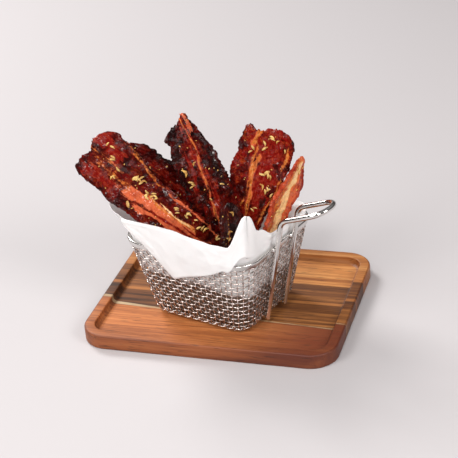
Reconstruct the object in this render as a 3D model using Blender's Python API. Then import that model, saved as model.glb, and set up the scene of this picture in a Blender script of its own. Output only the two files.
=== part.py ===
"""Cooked bacon strips standing in a paper-lined wire fry basket on a wooden tray.

Units are metres, +Z is up, and the origin is the centre of the tray's underside.
The tray's long side lies along X and its front edge faces -Y. The basket has an
axis frame of its own, turned about Z: u runs to the handle and v to the back.
"""

import math
from dataclasses import dataclass

import bmesh
import bpy
from mathutils import Vector

MM = 0.001
GAP = 0.3 * MM

# Tray
TRAY_LENGTH = 200 * MM
TRAY_DEPTH = 155 * MM
TRAY_HEIGHT = 12 * MM
TRAY_RIM = 8.3 * MM
TRAY_FLOOR = 6.4 * MM
TRAY_CORNER = 21 * MM
TRAY_LEAST_CORNER = 4 * MM
TRAY_EDGE_ROUND = 1.4 * MM
TRAY_LIP_ROUND = 0.8 * MM
TRAY_COVE = 3.5 * MM

# Basket: a rounded rectangle that widens from its floor to its rim
BASKET_CENTRE = (-3.4 * MM, -4.1 * MM)
BASKET_TURN = math.radians(-16.7)
BASKET_HEIGHT = 68.7 * MM
BASE_HALF_U = 43.7 * MM
BASE_HALF_V = 38.2 * MM
BASE_CORNER = 14.8 * MM
RIM_HALF_U = 57.6 * MM
RIM_HALF_V = 51.8 * MM
RIM_CORNER = 19.3 * MM
BASKET_BOTTOM = TRAY_FLOOR + GAP
RIM_TOP = BASKET_BOTTOM + BASKET_HEIGHT
BOTTOM_ROUND = 7 * MM
MESH_THICKNESS = 1.6 * MM
RIM_BAND_HEIGHT = 4.4 * MM
RIM_BAND_OUT = 0.7 * MM
RIM_BAND_IN = 2.3 * MM
RIM_BAND_ROUND = 0.5 * MM

# Handle: one bent round wire
WIRE = 4 * MM
HANDLE_HALF_WIDTH = 12.5 * MM
HANDLE_FOOT = 9.6 * MM
HANDLE_BEND_TOP = 98 * MM
HANDLE_BEND_RADIUS = 10 * MM
HANDLE_REACH = 101 * MM
HANDLE_RISE = math.radians(21.5)

# Paper liner
PAPER_THICKNESS = 0.7 * MM
PAPER_INSET = 2.6 * MM
PAPER_ON_RIM = RIM_BAND_IN + 0.8 * MM
PAPER_FLOOR = BASKET_BOTTOM + MESH_THICKNESS + 0.8 * MM
FLAP_OUT = RIM_BAND_OUT + 1.1 * MM
FOLD_WIDTH = 3.2 * MM
PAPER_SIDE_STEPS = (3, 3, 8, 3)
# The rings above the rim, and how many of them end the standing part and the turn
PAPER_STEPS = 9
PAPER_STAND_STEPS = 4
PAPER_TURN_STEPS = 6
PAPER_LEAN_CURVE = 1.5
PAPER_BELOW_RIM = RIM_BAND_HEIGHT + 4 * MM
# Keys round the rim: (degrees from the handle, 90 being the back; millimetres).
PAPER_STAND_KEYS = (
    (-168, 16), (-155, 25), (-138, 21), (-120, 20), (-100, 19), (-62, 14), (-51, 15), (-40, 43.5),
    (-37.5, 43.5), (-27, 23.5), (-10, 11), (6, 10), (25, 6), (60, 3), (90, 9), (120, 5), (150, 9),
)
PAPER_LEAN_KEYS = (
    (-175, -4), (-155, -16), (-135, -3), (-100, 0), (-60, 0), (-38, 1), (-20, 1), (0, 0),
    (30, 0), (55, -4), (90, -4), (120, 0),
)
# How far the paper hangs in from the wall low down, round the rim and by height.
PAPER_BELLY_KEYS = (
    (-170, 5), (-135, 8), (-90, 8), (-60, 7), (-45, 2), (-25, 0), (60, 0), (110, 3), (150, 4),
)
PAPER_BELLY_SHARES = ((14, 0.6), (36, 1), (52, 0))
# The flap folded over the front: (place along the front from its middle, length), in mm.
FLAP_KEYS = ((-46, 0), (-42, 6), (-9.6, 43), (38, 18.5), (50, 17), (54, 0))

# Bacon
STRIP_THICKNESS = 2.6 * MM
STRIP_ROWS = 21
STRIP_COLUMNS = 8
# The free end narrows from TIP_START on
TIP_NARROWING = 0.25
TIP_START = 0.86
TIP_SPAN = 0.2
# The edges' ripple: its share of the half width, its rate along and its skew across
EDGE_RIPPLE = 0.035
EDGE_RIPPLE_RATE = 9.0
EDGE_RIPPLE_SKEW = 2.0
# The waves' skew across the strip, and the share of the cup that centres it
WAVE_SKEW = 0.9
CUP_CENTRE = 0.33
# The share of the length over which the spine's direction is taken
SPINE_STEP = 0.01

# Divisions of the round stretches
CORNER_STEPS = 6
COVE_STEPS = 4
BOWL_STEPS = 4
HANDLE_BEND_STEPS = 6
HANDLE_END_STEPS = 12


@dataclass(frozen=True)
class Outline:
    """A strip's outline: how far its tip and its low and high edge reach.

    The tip's keys are (share across, share of the length). An edge's keys are (share
    along, share of the half width).
    """

    tip: tuple
    low: tuple = ((0, 1), (1, 1))
    high: tuple = ((0, 1), (1, 1))


@dataclass(frozen=True)
class Strip:
    """One bacon strip, from the end in the basket (foot) to its free end (tip).

    Places and sizes are in millimetres. facing_foot and facing_tip are the azimuths
    in degrees that the flat side looks to, 0 being -Y and 90 being +X, and tilt is
    how far it looks up. bow bends the strip out of its flat side and sweep bends it
    sideways. wave_count waves run along it, cup curls its edges and taper narrows its
    foot.
    """

    name: str
    foot: tuple
    tip: tuple
    width: float
    facing_foot: float
    facing_tip: float
    tilt: float
    bow: float
    sweep: float
    wave: float
    wave_count: float
    wave_phase: float
    cup: float
    taper: float
    outline: Outline
    colour: tuple


STRIPS = (
    Strip(
        "strip_left_front", (15, -10, 26), (-79, -45, 153), 42, 22, 18, 24, 3, 1,
        1.5, 2.2, 0.1, 2.0, 0.16,
        Outline(
            ((-1, 0.98), (-0.94, 1.02), (-0.5, 1.03), (-0.25, 1.01), (-0.1, 1.02),
             (0.3, 1.045), (0.65, 1.035), (0.88, 1.02), (1, 0.985)),
            ((0, 1), (0.72, 0.99), (0.8, 1.09), (0.87, 0.97), (0.98, 1.05)),
            ((0, 0.8), (0.38, 0.87), (0.47, 0.85), (0.56, 0.77), (0.65, 0.69),
             (0.73, 0.70), (0.78, 0.81), (0.85, 0.94), (0.92, 1.06), (1.0, 1.07)),
        ),
        (0.30, 0.03, 0.015, 1),
    ),
    Strip(
        "strip_left_back", (4, 16, 23), (-68, -11, 135), 35, 14, 22, 24, 2, 4,
        1.2, 1.8, 0.6, 1.6, 0.1,
        Outline(
            ((-1, 0.97), (-0.6, 1.02), (0.2, 1.04), (0.6, 1.03), (0.8, 1.0), (1, 0.97)),
            high=((0, 1), (0.78, 0.97), (0.83, 0.92), (0.94, 0.82), (1.0, 0.8)),
        ),
        (0.10, 0.012, 0.012, 1),
    ),
    Strip(
        "strip_middle", (4, -1, 18), (-21, -12, 156), 38, 14, 26, 24, -1, 4,
        1.0, 2.6, 0.3, -2.0, 0.12,
        Outline(
            ((-1, 0.995), (-0.8, 1.02), (-0.55, 1.045), (-0.3, 1.06), (0.1, 1.08),
             (0.8, 1.10), (1, 1.09)),
            ((0, 1), (0.85, 0.87), (0.9, 0.84), (0.945, 0.76), (0.98, 0.93), (1.0, 0.97)),
            ((0, 1), (0.65, 1.03), (0.73, 0.96), (0.81, 0.88), (0.87, 0.71), (0.93, 0.60),
             (1.0, 0.51), (1.1, 0.45)),
        ),
        (0.14, 0.02, 0.018, 1),
    ),
    Strip(
        "strip_right", (3, 8, 16), (33, 19, 143), 46, 25, 14, 24, 2, -2,
        1.2, 2.3, 0.8, 2.4, 0.7,
        Outline(
            ((-1, 1.02), (-0.85, 1.035), (-0.68, 1.025), (-0.5, 1.0), (-0.3, 1.01),
             (-0.1, 1.015), (0.14, 1.04), (0.44, 1.055), (0.72, 1.045), (0.93, 1.015),
             (1, 0.985)),
            ((0, 1), (0.64, 1.0), (0.72, 1.09), (0.8, 0.96), (0.86, 0.84), (0.93, 0.87),
             (1.0, 0.81)),
            ((0, 1), (0.45, 0.85), (0.57, 0.95), (0.68, 1.13), (0.78, 1.18), (0.89, 1.15),
             (1.0, 1.09)),
        ),
        (0.28, 0.02, 0.015, 1),
    ),
    Strip(
        "strip_right_edge", (21.2, -24.4, 20), (56.6, 26, 118.1), 25.3, 41.8, 86.6, 10, -2.8, -1,
        0.9, 2.4, 0.2, 1.2, 0.21,
        Outline(
            ((-1, 0.93), (-0.5, 1.0), (0, 1.035), (0.6, 1.02), (1, 0.96)),
            ((0, 1), (0.72, 1.05), (0.83, 0.76), (1.0, 0.72)),
            ((0, 1), (0.64, 1.15), (0.8, 1.12), (0.92, 0.98), (1.0, 0.85)),
        ),
        (0.50, 0.09, 0.02, 1),
    ),
    Strip(
        "strip_front_short", (7, -26, 17), (13, -24, 99), 20, 60, 55, 16, 1.5, 0,
        0.8, 1.6, 0.4, 1.2, 0.1,
        Outline(((-1, 1.0), (-0.6, 1.05), (-0.1, 1.08), (0.4, 1.06), (0.8, 1.0), (1, 0.95))),
        (0.07, 0.01, 0.01, 1),
    ),
)


def clear_scene():
    """Remove every object that the file starts with."""
    for item in list(bpy.data.objects):
        bpy.data.objects.remove(item)


def make_material(name, colour, roughness, metallic=0.0):
    """Return a Principled material with one colour."""
    material = bpy.data.materials.new(name)
    material.use_nodes = True
    shader = material.node_tree.nodes["Principled BSDF"]
    shader.inputs["Base Color"].default_value = colour
    shader.inputs["Roughness"].default_value = roughness
    shader.inputs["Metallic"].default_value = metallic
    return material


def add_object(name, mesh, material, smooth_angle=40.0, parent=None):
    """Link a mesh as a named object, shaded smooth below the given angle."""
    mesh.materials.append(material)
    mesh.shade_smooth()
    mesh.set_sharp_from_angle(angle=math.radians(smooth_angle))
    item = bpy.data.objects.new(name, mesh)
    bpy.context.scene.collection.objects.link(item)
    item.parent = parent
    return item


def mesh_from_bmesh(name, shape):
    """Turn a bmesh into a mesh whose faces point outward."""
    bmesh.ops.recalc_face_normals(shape, faces=shape.faces)
    mesh = bpy.data.meshes.new(name)
    shape.to_mesh(mesh)
    shape.free()
    return mesh


def rounded_rectangle(half_x, half_y, radius, z, side_steps=(1, 1, 1, 1)):
    """Return the points of a level rounded rectangle, counter-clockwise.

    side_steps holds the divisions of the back, left, front and right sides.
    """
    points = []
    for quarter, (side_x, side_y) in enumerate(((1, 1), (-1, 1), (-1, -1), (1, -1))):
        for step in range(CORNER_STEPS + 1):
            angle = math.radians(90) * (quarter + step / CORNER_STEPS)
            x = side_x * (half_x - radius) + radius * math.cos(angle)
            y = side_y * (half_y - radius) + radius * math.sin(angle)
            points.append(Vector((x, y, z)))
    corner = CORNER_STEPS + 1
    ring = []
    for quarter in range(4):
        ring += points[quarter * corner:(quarter + 1) * corner]
        last = ring[-1]
        following = points[(quarter + 1) * corner % len(points)]
        steps = side_steps[quarter]
        ring += [last.lerp(following, step / steps) for step in range(1, steps)]
    return ring


def loft(name, rings, closed=False):
    """Skin a stack of rings; the end rings are capped, or joined when closed."""
    shape = bmesh.new()
    loops = [[shape.verts.new(point) for point in ring] for ring in rings]
    pairs = list(zip(loops, loops[1:]))
    if closed:
        pairs.append((loops[-1], loops[0]))
    else:
        shape.faces.new(loops[0])
        shape.faces.new(loops[-1])
    for low, high in pairs:
        for i in range(len(low)):
            j = (i + 1) % len(low)
            shape.faces.new((low[i], low[j], high[j], high[i]))
    return mesh_from_bmesh(name, shape)


def quarter_arc(centre_inset, centre_z, radius, start, steps):
    """Return (inset, z) points of a quarter turn; start is in degrees."""
    points = []
    for step in range(steps + 1):
        angle = math.radians(start + 90 * step / steps)
        points.append((centre_inset - radius * math.cos(angle), centre_z + radius * math.sin(angle)))
    return points


# ---------------------------------------------------------------- tray


def make_tray():
    """Make the tray: a board with rounded edges and a shallow coved recess."""
    edge = TRAY_EDGE_ROUND
    cove_centre = TRAY_RIM + TRAY_COVE
    profile = quarter_arc(edge, edge, edge, -90, 3)
    profile += quarter_arc(edge, TRAY_HEIGHT - edge, edge, 0, 3)
    lip = TRAY_LIP_ROUND
    profile += quarter_arc(TRAY_RIM - lip, TRAY_HEIGHT - lip, lip, 90, 2)
    for step in range(COVE_STEPS + 1):
        angle = math.radians(90 * step / COVE_STEPS)
        inset = cove_centre - TRAY_COVE * math.cos(angle)
        profile.append((inset, TRAY_FLOOR + TRAY_COVE * (1 - math.sin(angle))))
    rings = []
    for inset, z in profile:
        corner = max(TRAY_CORNER - inset, TRAY_LEAST_CORNER)
        rings.append(rounded_rectangle(TRAY_LENGTH / 2 - inset, TRAY_DEPTH / 2 - inset, corner, z))
    wood = make_material("acacia", (0.33, 0.13, 0.045, 1), 0.5)
    return add_object("tray", loft("tray", rings), wood, 50)


# -------------------------------------------------------------- basket


def basket_ring(z, offset, side_steps=(1, 1, 1, 1)):
    """Return the ring of the basket's outer wall at height z, moved out by offset."""
    share = (z - BASKET_BOTTOM) / BASKET_HEIGHT
    half_u = BASE_HALF_U + (RIM_HALF_U - BASE_HALF_U) * share + offset
    half_v = BASE_HALF_V + (RIM_HALF_V - BASE_HALF_V) * share + offset
    corner = BASE_CORNER + (RIM_CORNER - BASE_CORNER) * share + offset
    return rounded_rectangle(half_u, half_v, corner, z, side_steps)


def bowl_profile(bottom, offset, top, steps=BOWL_STEPS):
    """Return (z, offset) pairs from the floor's edge round the bottom edge to top."""
    pairs = []
    radius = BOTTOM_ROUND + offset
    for step in range(steps + 1):
        angle = math.radians(90 * step / steps)
        inset = radius * (1 - math.sin(angle))
        pairs.append((bottom + radius * (1 - math.cos(angle)), offset - inset))
    pairs.append((top, offset))
    return pairs


def make_basket_mesh(parent):
    """Make the basket's woven wall and floor as one thin open shell."""
    top = RIM_TOP - RIM_BAND_HEIGHT - GAP
    outer = bowl_profile(BASKET_BOTTOM, 0.0, top)
    inner = bowl_profile(BASKET_BOTTOM + MESH_THICKNESS, -MESH_THICKNESS, top)
    rings = [basket_ring(z, offset) for z, offset in outer + inner[::-1]]
    steel = make_material("woven_steel", (0.45, 0.42, 0.38, 1), 0.35, 1.0)
    return add_object("basket_mesh", loft("basket_mesh", rings), steel, 50, parent)


def make_basket_rim(parent):
    """Make the flat steel band that binds the top of the mesh."""
    low = RIM_TOP - RIM_BAND_HEIGHT
    soft = RIM_BAND_ROUND
    section = (
        (low, -RIM_BAND_IN + soft), (low, RIM_BAND_OUT - soft), (low + soft, RIM_BAND_OUT),
        (RIM_TOP - soft, RIM_BAND_OUT), (RIM_TOP, RIM_BAND_OUT - soft),
        (RIM_TOP, -RIM_BAND_IN + soft), (RIM_TOP - soft, -RIM_BAND_IN), (low + soft, -RIM_BAND_IN),
    )
    rings = [basket_ring(z, offset) for z, offset in section]
    steel = make_material("rim_steel", (0.62, 0.60, 0.57, 1), 0.22, 1.0)
    return add_object("basket_rim", loft("basket_rim", rings, closed=True), steel, 30, parent)


def wall_u(z):
    """Return how far the outer wall stands from the axis at the handle's end."""
    share = (z - BASKET_BOTTOM) / BASKET_HEIGHT
    return BASE_HALF_U + (RIM_HALF_U - BASE_HALF_U) * share


def handle_side():
    """Return the (u, z) points of one side of the handle, foot to loop."""
    stand_off = RIM_BAND_OUT + GAP + WIRE / 2
    slope = (RIM_HALF_U - BASE_HALF_U) / BASKET_HEIGHT
    post_angle = math.atan2(1.0, slope)
    foot = Vector((wall_u(HANDLE_FOOT) + stand_off, HANDLE_FOOT))
    corner = Vector((wall_u(HANDLE_BEND_TOP) + stand_off, HANDLE_BEND_TOP))
    turn = post_angle - HANDLE_RISE
    setback = HANDLE_BEND_RADIUS * math.tan(turn / 2)
    along_post = Vector((math.cos(post_angle), math.sin(post_angle)))
    outward = Vector((along_post.y, -along_post.x))
    start = corner - along_post * setback
    centre = start + outward * HANDLE_BEND_RADIUS
    points = [foot, start]
    for step in range(1, HANDLE_BEND_STEPS + 1):
        angle = turn * step / HANDLE_BEND_STEPS
        arm = along_post * math.sin(angle) - outward * math.cos(angle)
        points.append(centre + arm * HANDLE_BEND_RADIUS)
    return points


def make_handle(parent):
    """Make the handle: two posts beside the wall and a rising round-ended loop."""
    side = handle_side()
    run = Vector((math.cos(HANDLE_RISE), math.sin(HANDLE_RISE)))
    loop_length = (HANDLE_REACH - side[-1].x) / run.x - HANDLE_HALF_WIDTH
    loop_centre = side[-1] + run * loop_length
    route = [(point.x, -HANDLE_HALF_WIDTH, point.y) for point in side]
    for step in range(HANDLE_END_STEPS + 1):
        angle = math.radians(180 * step / HANDLE_END_STEPS)
        point = loop_centre + run * (HANDLE_HALF_WIDTH * math.sin(angle))
        route.append((point.x, -HANDLE_HALF_WIDTH * math.cos(angle), point.y))
    route += [(point.x, HANDLE_HALF_WIDTH, point.y) for point in reversed(side)]
    curve = bpy.data.curves.new("basket_handle", "CURVE")
    curve.dimensions = "3D"
    curve.bevel_depth = WIRE / 2
    curve.bevel_resolution = 3
    curve.use_fill_caps = True
    spline = curve.splines.new("POLY")
    spline.points.add(len(route) - 1)
    for spot, place in zip(spline.points, route):
        spot.co = (*place, 1.0)
    curve.materials.append(make_material("handle_steel", (0.66, 0.64, 0.62, 1), 0.12, 1.0))
    item = bpy.data.objects.new("basket_handle", curve)
    bpy.context.scene.collection.objects.link(item)
    item.parent = parent
    return item


# --------------------------------------------------------- paper liner


def between(keys, place):
    """Return the value at a place by straight lines from key to key, held at both ends."""
    if place <= keys[0][0]:
        return keys[0][1]
    for (start, before), (end, value) in zip(keys, keys[1:]):
        if place <= end:
            return before + (value - before) * (place - start) / (end - start)
    return keys[-1][1]


def keyed(keys, angle):
    """Return the smooth value between the keys either side of an angle in degrees."""
    for index, (end, value) in enumerate(keys):
        start, before = keys[index - 1]
        span = (end - start) % 360
        along = (angle - start) % 360
        if along < span:
            share = along / span
            return before + (value - before) * share * share * (3 - 2 * share)
    raise ValueError("keys do not go round")


def rim_angle(place):
    """Return the angle in degrees of a place on the rim, from the handle."""
    return math.degrees(math.atan2(place.y, place.x))


def paper_on_wall(place, z, offset):
    """Return the paper's offset at height z under a place on the rim."""
    belly = keyed(PAPER_BELLY_KEYS, rim_angle(place)) * MM
    return offset - belly * between(PAPER_BELLY_SHARES, z / MM)


def paper_above_rim(place, share):
    """Return (z, offset) on the paper over a place on the rim.

    share runs from 0 at the rim to 1 at the paper's edge. Where the flap hangs, the
    first part stands, a short part turns over and the rest comes down outside.
    """
    angle = rim_angle(place)
    stand = keyed(PAPER_STAND_KEYS, angle) * MM
    lean = keyed(PAPER_LEAN_KEYS, angle) * MM
    drop = between(FLAP_KEYS, place.x / MM) * MM if place.y < 0 else 0.0
    stand_share = PAPER_STAND_STEPS / PAPER_STEPS if drop else 1.0
    turn_share = PAPER_TURN_STEPS / PAPER_STEPS
    top = RIM_TOP + stand
    if share <= stand_share:
        rise = share / stand_share
        return RIM_TOP + stand * rise, -PAPER_ON_RIM - lean * rise ** PAPER_LEAN_CURVE
    start = -PAPER_ON_RIM - lean
    if share <= turn_share:
        turn = math.pi * (share - stand_share) / (turn_share - stand_share)
        lift = FOLD_WIDTH / 2 * math.sin(turn)
        return top + lift, start + FOLD_WIDTH / 2 * (1 - math.cos(turn))
    down = drop * (share - turn_share) / (1 - turn_share)
    start += FOLD_WIDTH
    spread = min(1.0, down / stand)
    return top - down, start + (FLAP_OUT - start) * spread


def make_paper(parent):
    """Make the paper: a folded sheet that lines the basket and flaps over its front."""
    lower = bowl_profile(PAPER_FLOOR, -PAPER_INSET, RIM_TOP - PAPER_BELOW_RIM, 3)
    lower[-1:-1] = [(height * MM, -PAPER_INSET) for height, _ in PAPER_BELLY_SHARES[1:]]
    lower.append((RIM_TOP, -PAPER_ON_RIM))
    places = basket_ring(RIM_TOP, 0.0, PAPER_SIDE_STEPS)
    around = len(places)
    shape = bmesh.new()
    rings = []
    for z, offset in lower:
        ring = []
        for index, place in enumerate(places):
            hanging = paper_on_wall(place, z, offset)
            ring.append(shape.verts.new(basket_ring(z, hanging, PAPER_SIDE_STEPS)[index]))
        rings.append(ring)
    for step in range(1, PAPER_STEPS + 1):
        ring = []
        for index, place in enumerate(places):
            z, offset = paper_above_rim(place, step / PAPER_STEPS)
            ring.append(shape.verts.new(basket_ring(z, offset, PAPER_SIDE_STEPS)[index]))
        rings.append(ring)
    shape.faces.new(rings[0][::-1])
    for low, high in zip(rings, rings[1:]):
        for i in range(around):
            j = (i + 1) % around
            shape.faces.new((low[i], low[j], high[j], high[i]))
    mesh = bpy.data.meshes.new("paper_liner")
    shape.to_mesh(mesh)
    shape.free()
    paper = make_material("white_paper", (0.86, 0.86, 0.85, 1), 0.75)
    item = add_object("paper_liner", mesh, paper, 50, parent)
    sheet = item.modifiers.new("sheet", "SOLIDIFY")
    sheet.thickness = PAPER_THICKNESS
    sheet.offset = 0.0
    return item


# --------------------------------------------------------------- bacon


def facing_vector(azimuth, tilt):
    """Return the unit vector at an azimuth from -Y towards +X, tilted up."""
    turn = math.radians(azimuth)
    lift = math.radians(tilt)
    return Vector((math.sin(turn) * math.cos(lift), -math.cos(turn) * math.cos(lift), math.sin(lift)))


def spine_point(strip, along):
    """Return the middle of the strip at a share of its length."""
    foot = Vector(strip.foot) * MM
    tip = Vector(strip.tip) * MM
    facing = facing_vector(strip.facing_foot, strip.tilt)
    side = (tip - foot).normalized().cross(facing).normalized()
    arch = 4 * along * (1 - along) * MM
    return foot.lerp(tip, along) + facing * (strip.bow * arch) + side * (strip.sweep * arch)


def strip_point(strip, along, across):
    """Return a point of the strip's middle surface; across runs from -1 to 1."""
    share = along * between(strip.outline.tip, across)
    across *= between(strip.outline.low if across < 0 else strip.outline.high, share)
    centre = spine_point(strip, share)
    forward = (spine_point(strip, share + SPINE_STEP) - centre).normalized()
    azimuth = strip.facing_foot + (strip.facing_tip - strip.facing_foot) * share
    facing = facing_vector(azimuth, strip.tilt)
    face = (facing - forward * facing.dot(forward)).normalized()
    side = forward.cross(face)
    end = 1.0 - TIP_NARROWING * max(0.0, (share - TIP_START) / TIP_SPAN) ** 2
    half = strip.width / 2 * MM * end * (1.0 - strip.taper * (1.0 - share))
    ripple = EDGE_RIPPLE_RATE * (share + strip.wave_phase) + EDGE_RIPPLE_SKEW * across
    half *= 1.0 + EDGE_RIPPLE * math.sin(ripple)
    turn = 2 * math.pi * (strip.wave_count * share + strip.wave_phase)
    lift = strip.wave * math.sin(turn + WAVE_SKEW * across) + strip.cup * (across ** 2 - CUP_CENTRE)
    return centre + side * (across * half) + face * (lift * MM)


def make_strip(strip):
    """Make one bacon strip as a wavy ribbon of even thickness."""
    shape = bmesh.new()
    rows = []
    for row in range(STRIP_ROWS + 1):
        line = []
        for column in range(STRIP_COLUMNS + 1):
            across = 2 * column / STRIP_COLUMNS - 1
            line.append(shape.verts.new(strip_point(strip, row / STRIP_ROWS, across)))
        rows.append(line)
    for low, high in zip(rows, rows[1:]):
        for i in range(STRIP_COLUMNS):
            shape.faces.new((low[i], low[i + 1], high[i + 1], high[i]))
    mesh = bpy.data.meshes.new(strip.name)
    shape.to_mesh(mesh)
    shape.free()
    item = add_object(strip.name, mesh, make_material(strip.name, strip.colour, 0.3), 60)
    slab = item.modifiers.new("slab", "SOLIDIFY")
    slab.thickness = STRIP_THICKNESS
    slab.offset = 0.0
    return item


def main():
    """Build every piece of the object."""
    clear_scene()
    make_tray()
    basket = bpy.data.objects.new("basket_frame", None)
    bpy.context.scene.collection.objects.link(basket)
    basket.location = (*BASKET_CENTRE, 0.0)
    basket.rotation_euler = (0.0, 0.0, BASKET_TURN)
    make_basket_mesh(basket)
    make_basket_rim(basket)
    make_handle(basket)
    make_paper(basket)
    for strip in STRIPS:
        make_strip(strip)


main()
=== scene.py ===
"""Looks of cooked bacon strips in a paper-lined wire fry basket on an acacia tray.

Lengths are metres in the frame's own axes: +Z is up, +X runs along the tray and -Y
is its front. The basket has axes of its own, turned about Z: u runs to the handle
and v to the back. Each sub-assembly is a class that builds and dresses its pieces.
"""

import logging
import math
from contextlib import contextmanager
from dataclasses import dataclass, field
from enum import Enum
from typing import Any, Iterator, Sequence, Union

import bmesh
import bpy
import numpy as np
from mathutils import Matrix, Vector


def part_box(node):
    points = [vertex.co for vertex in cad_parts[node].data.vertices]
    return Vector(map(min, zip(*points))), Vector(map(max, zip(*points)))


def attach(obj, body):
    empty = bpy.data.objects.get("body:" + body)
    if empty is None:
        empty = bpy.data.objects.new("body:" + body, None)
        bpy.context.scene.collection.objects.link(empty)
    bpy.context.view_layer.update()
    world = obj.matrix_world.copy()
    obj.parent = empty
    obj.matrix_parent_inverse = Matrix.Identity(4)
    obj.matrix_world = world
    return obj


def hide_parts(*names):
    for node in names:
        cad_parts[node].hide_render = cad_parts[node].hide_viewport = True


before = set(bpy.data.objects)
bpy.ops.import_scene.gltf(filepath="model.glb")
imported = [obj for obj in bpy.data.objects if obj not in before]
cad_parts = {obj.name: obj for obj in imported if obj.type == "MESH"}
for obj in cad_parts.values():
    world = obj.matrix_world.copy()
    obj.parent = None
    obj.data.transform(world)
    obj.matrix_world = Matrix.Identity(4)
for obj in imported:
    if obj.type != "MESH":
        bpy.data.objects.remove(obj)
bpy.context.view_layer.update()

MM = 0.001
BODY = "root"
STRIP_MAP = "strip"  # the map on each strip: along it and across it, in decimetres
LEAST_END = 0.02  # where a tube's rounded end stops, as a share of its length
SKEW_AXIS = (0.3, 0.2, 0.93)  # a direction that no tube starts along
LOG = logging.getLogger("bacon_basket")

Array = np.ndarray
Colour = tuple[float, float, float, float]
Number = Union[float, "Value"]


class SlotName(Enum):
    """The record's material slots."""

    WOOD = "wood"
    MESH_STEEL = "mesh_steel"
    RIM_STEEL = "rim_steel"
    HANDLE_STEEL = "handle_steel"
    PAPER = "paper"
    BACON = "bacon"


class Tone(Enum):
    """What a streak on a strip is, as a place on the colour ramp of its fat."""

    RED = 0.0
    SALMON = 0.34
    AMBER = 0.67
    CREAM = 1.0


# ------------------------------------------------------------------ node tools


class Value:
    """A number that a node gives, which Python's operators turn into Math nodes."""

    def __init__(self, tree: "NodeTree", socket: bpy.types.NodeSocket) -> None:
        """Wrap a socket of a tree.

        Args:
            tree: The tree that new Math nodes go into.
            socket: The output socket that holds the number.
        """
        self.tree = tree
        self.socket = socket

    def _math(self, operation: str, *numbers: Number) -> "Value":
        """Add a Math node.

        Args:
            operation: The Math node's operation.
            numbers: What goes into it, in order.

        Returns:
            The node's result.
        """
        node = self.tree.node("ShaderNodeMath", {"operation": operation}, dict(enumerate(numbers)))
        return Value(self.tree, node.outputs[0])

    def __add__(self, other: Number) -> "Value":
        """Return the sum."""
        return self._math("ADD", self, other)

    __radd__ = __add__

    def __sub__(self, other: Number) -> "Value":
        """Return the difference."""
        return self._math("SUBTRACT", self, other)

    def __rsub__(self, other: Number) -> "Value":
        """Return the other number less this one."""
        return self._math("SUBTRACT", other, self)

    def __mul__(self, other: Number) -> "Value":
        """Return the product."""
        return self._math("MULTIPLY", self, other)

    __rmul__ = __mul__

    def __abs__(self) -> "Value":
        """Return the number without its sign."""
        return self._math("ABSOLUTE", self)

    def rising(self, low: float, high: float) -> "Value":
        """Return 0 below low, 1 above high and a smooth step between them."""
        return self._stepped(low, high, 0.0, 1.0)

    def falling(self, low: float, high: float) -> "Value":
        """Return 1 below low, 0 above high and a smooth step between them."""
        return self._stepped(low, high, 1.0, 0.0)

    def _stepped(self, low: float, high: float, before: float, after: float) -> "Value":
        """Add a smooth Map Range node.

        Args:
            low: Where the step starts.
            high: Where the step ends.
            before: The result below low.
            after: The result above high.

        Returns:
            The node's result.
        """
        node = self.tree.node(
            "ShaderNodeMapRange",
            {"interpolation_type": "SMOOTHSTEP"},
            {"Value": self, "From Min": low, "From Max": high, "To Min": before, "To Max": after},
        )
        return Value(self.tree, node.outputs["Result"])


class NodeTree:
    """A node tree that is filled one node at a time."""

    def __init__(self, tree: bpy.types.NodeTree) -> None:
        """Take the tree to fill."""
        self.tree = tree

    def node(
        self,
        kind: str,
        settings: dict[str, Any] | None = None,
        inputs: dict[int | str, Any] | None = None,
    ) -> bpy.types.Node:
        """Add a node.

        Args:
            kind: The node's type.
            settings: Its properties, set first; "stops" are a colour ramp's stops.
            inputs: A value or a link for each socket, by number, identifier or name.

        Returns:
            The new node.
        """
        made = self.tree.nodes.new(kind)
        for name, value in (settings or {}).items():
            if name == "stops":
                self._set_stops(made.color_ramp, value)
            else:
                setattr(made, name, value)
        for key, value in (inputs or {}).items():
            self._feed(self._find(made.inputs, key), value)
        return made

    def output(self, node: bpy.types.Node, key: int | str = 0) -> bpy.types.NodeSocket:
        """Return a node's output by number, identifier or name, among those in use."""
        return self._find([socket for socket in node.outputs if socket.enabled], key)

    @staticmethod
    def _find(sockets: Sequence[bpy.types.NodeSocket], key: int | str) -> bpy.types.NodeSocket:
        """Return the socket with that number, identifier or name.

        Args:
            sockets: The sockets to look through.
            key: A number, an identifier or a name.

        Returns:
            The socket.
        """
        if isinstance(key, int):
            return sockets[key]
        for socket in sockets:
            if socket.identifier == key:
                return socket
        for socket in sockets:
            if socket.name == key:
                return socket
        raise KeyError(f"no socket {key!r}")

    def _feed(self, socket: bpy.types.NodeSocket, value: Any) -> None:
        """Link a socket, or set its own value.

        Args:
            socket: The input socket.
            value: What to link to it, or its own value.
        """
        if isinstance(value, Value):
            self.tree.links.new(value.socket, socket)
        elif isinstance(value, bpy.types.NodeSocket):
            self.tree.links.new(value, socket)
        else:
            socket.default_value = value

    @staticmethod
    def _set_stops(ramp: bpy.types.ColorRamp, stops: Sequence[tuple[float, Colour]]) -> None:
        """Give a colour ramp its stops.

        Args:
            ramp: The colour ramp.
            stops: Each stop's place and colour, in rising order.
        """
        while len(ramp.elements) < len(stops):
            ramp.elements.new(1.0)
        for element, (place, colour) in zip(ramp.elements, stops):
            element.position = place
            element.color = colour


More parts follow.
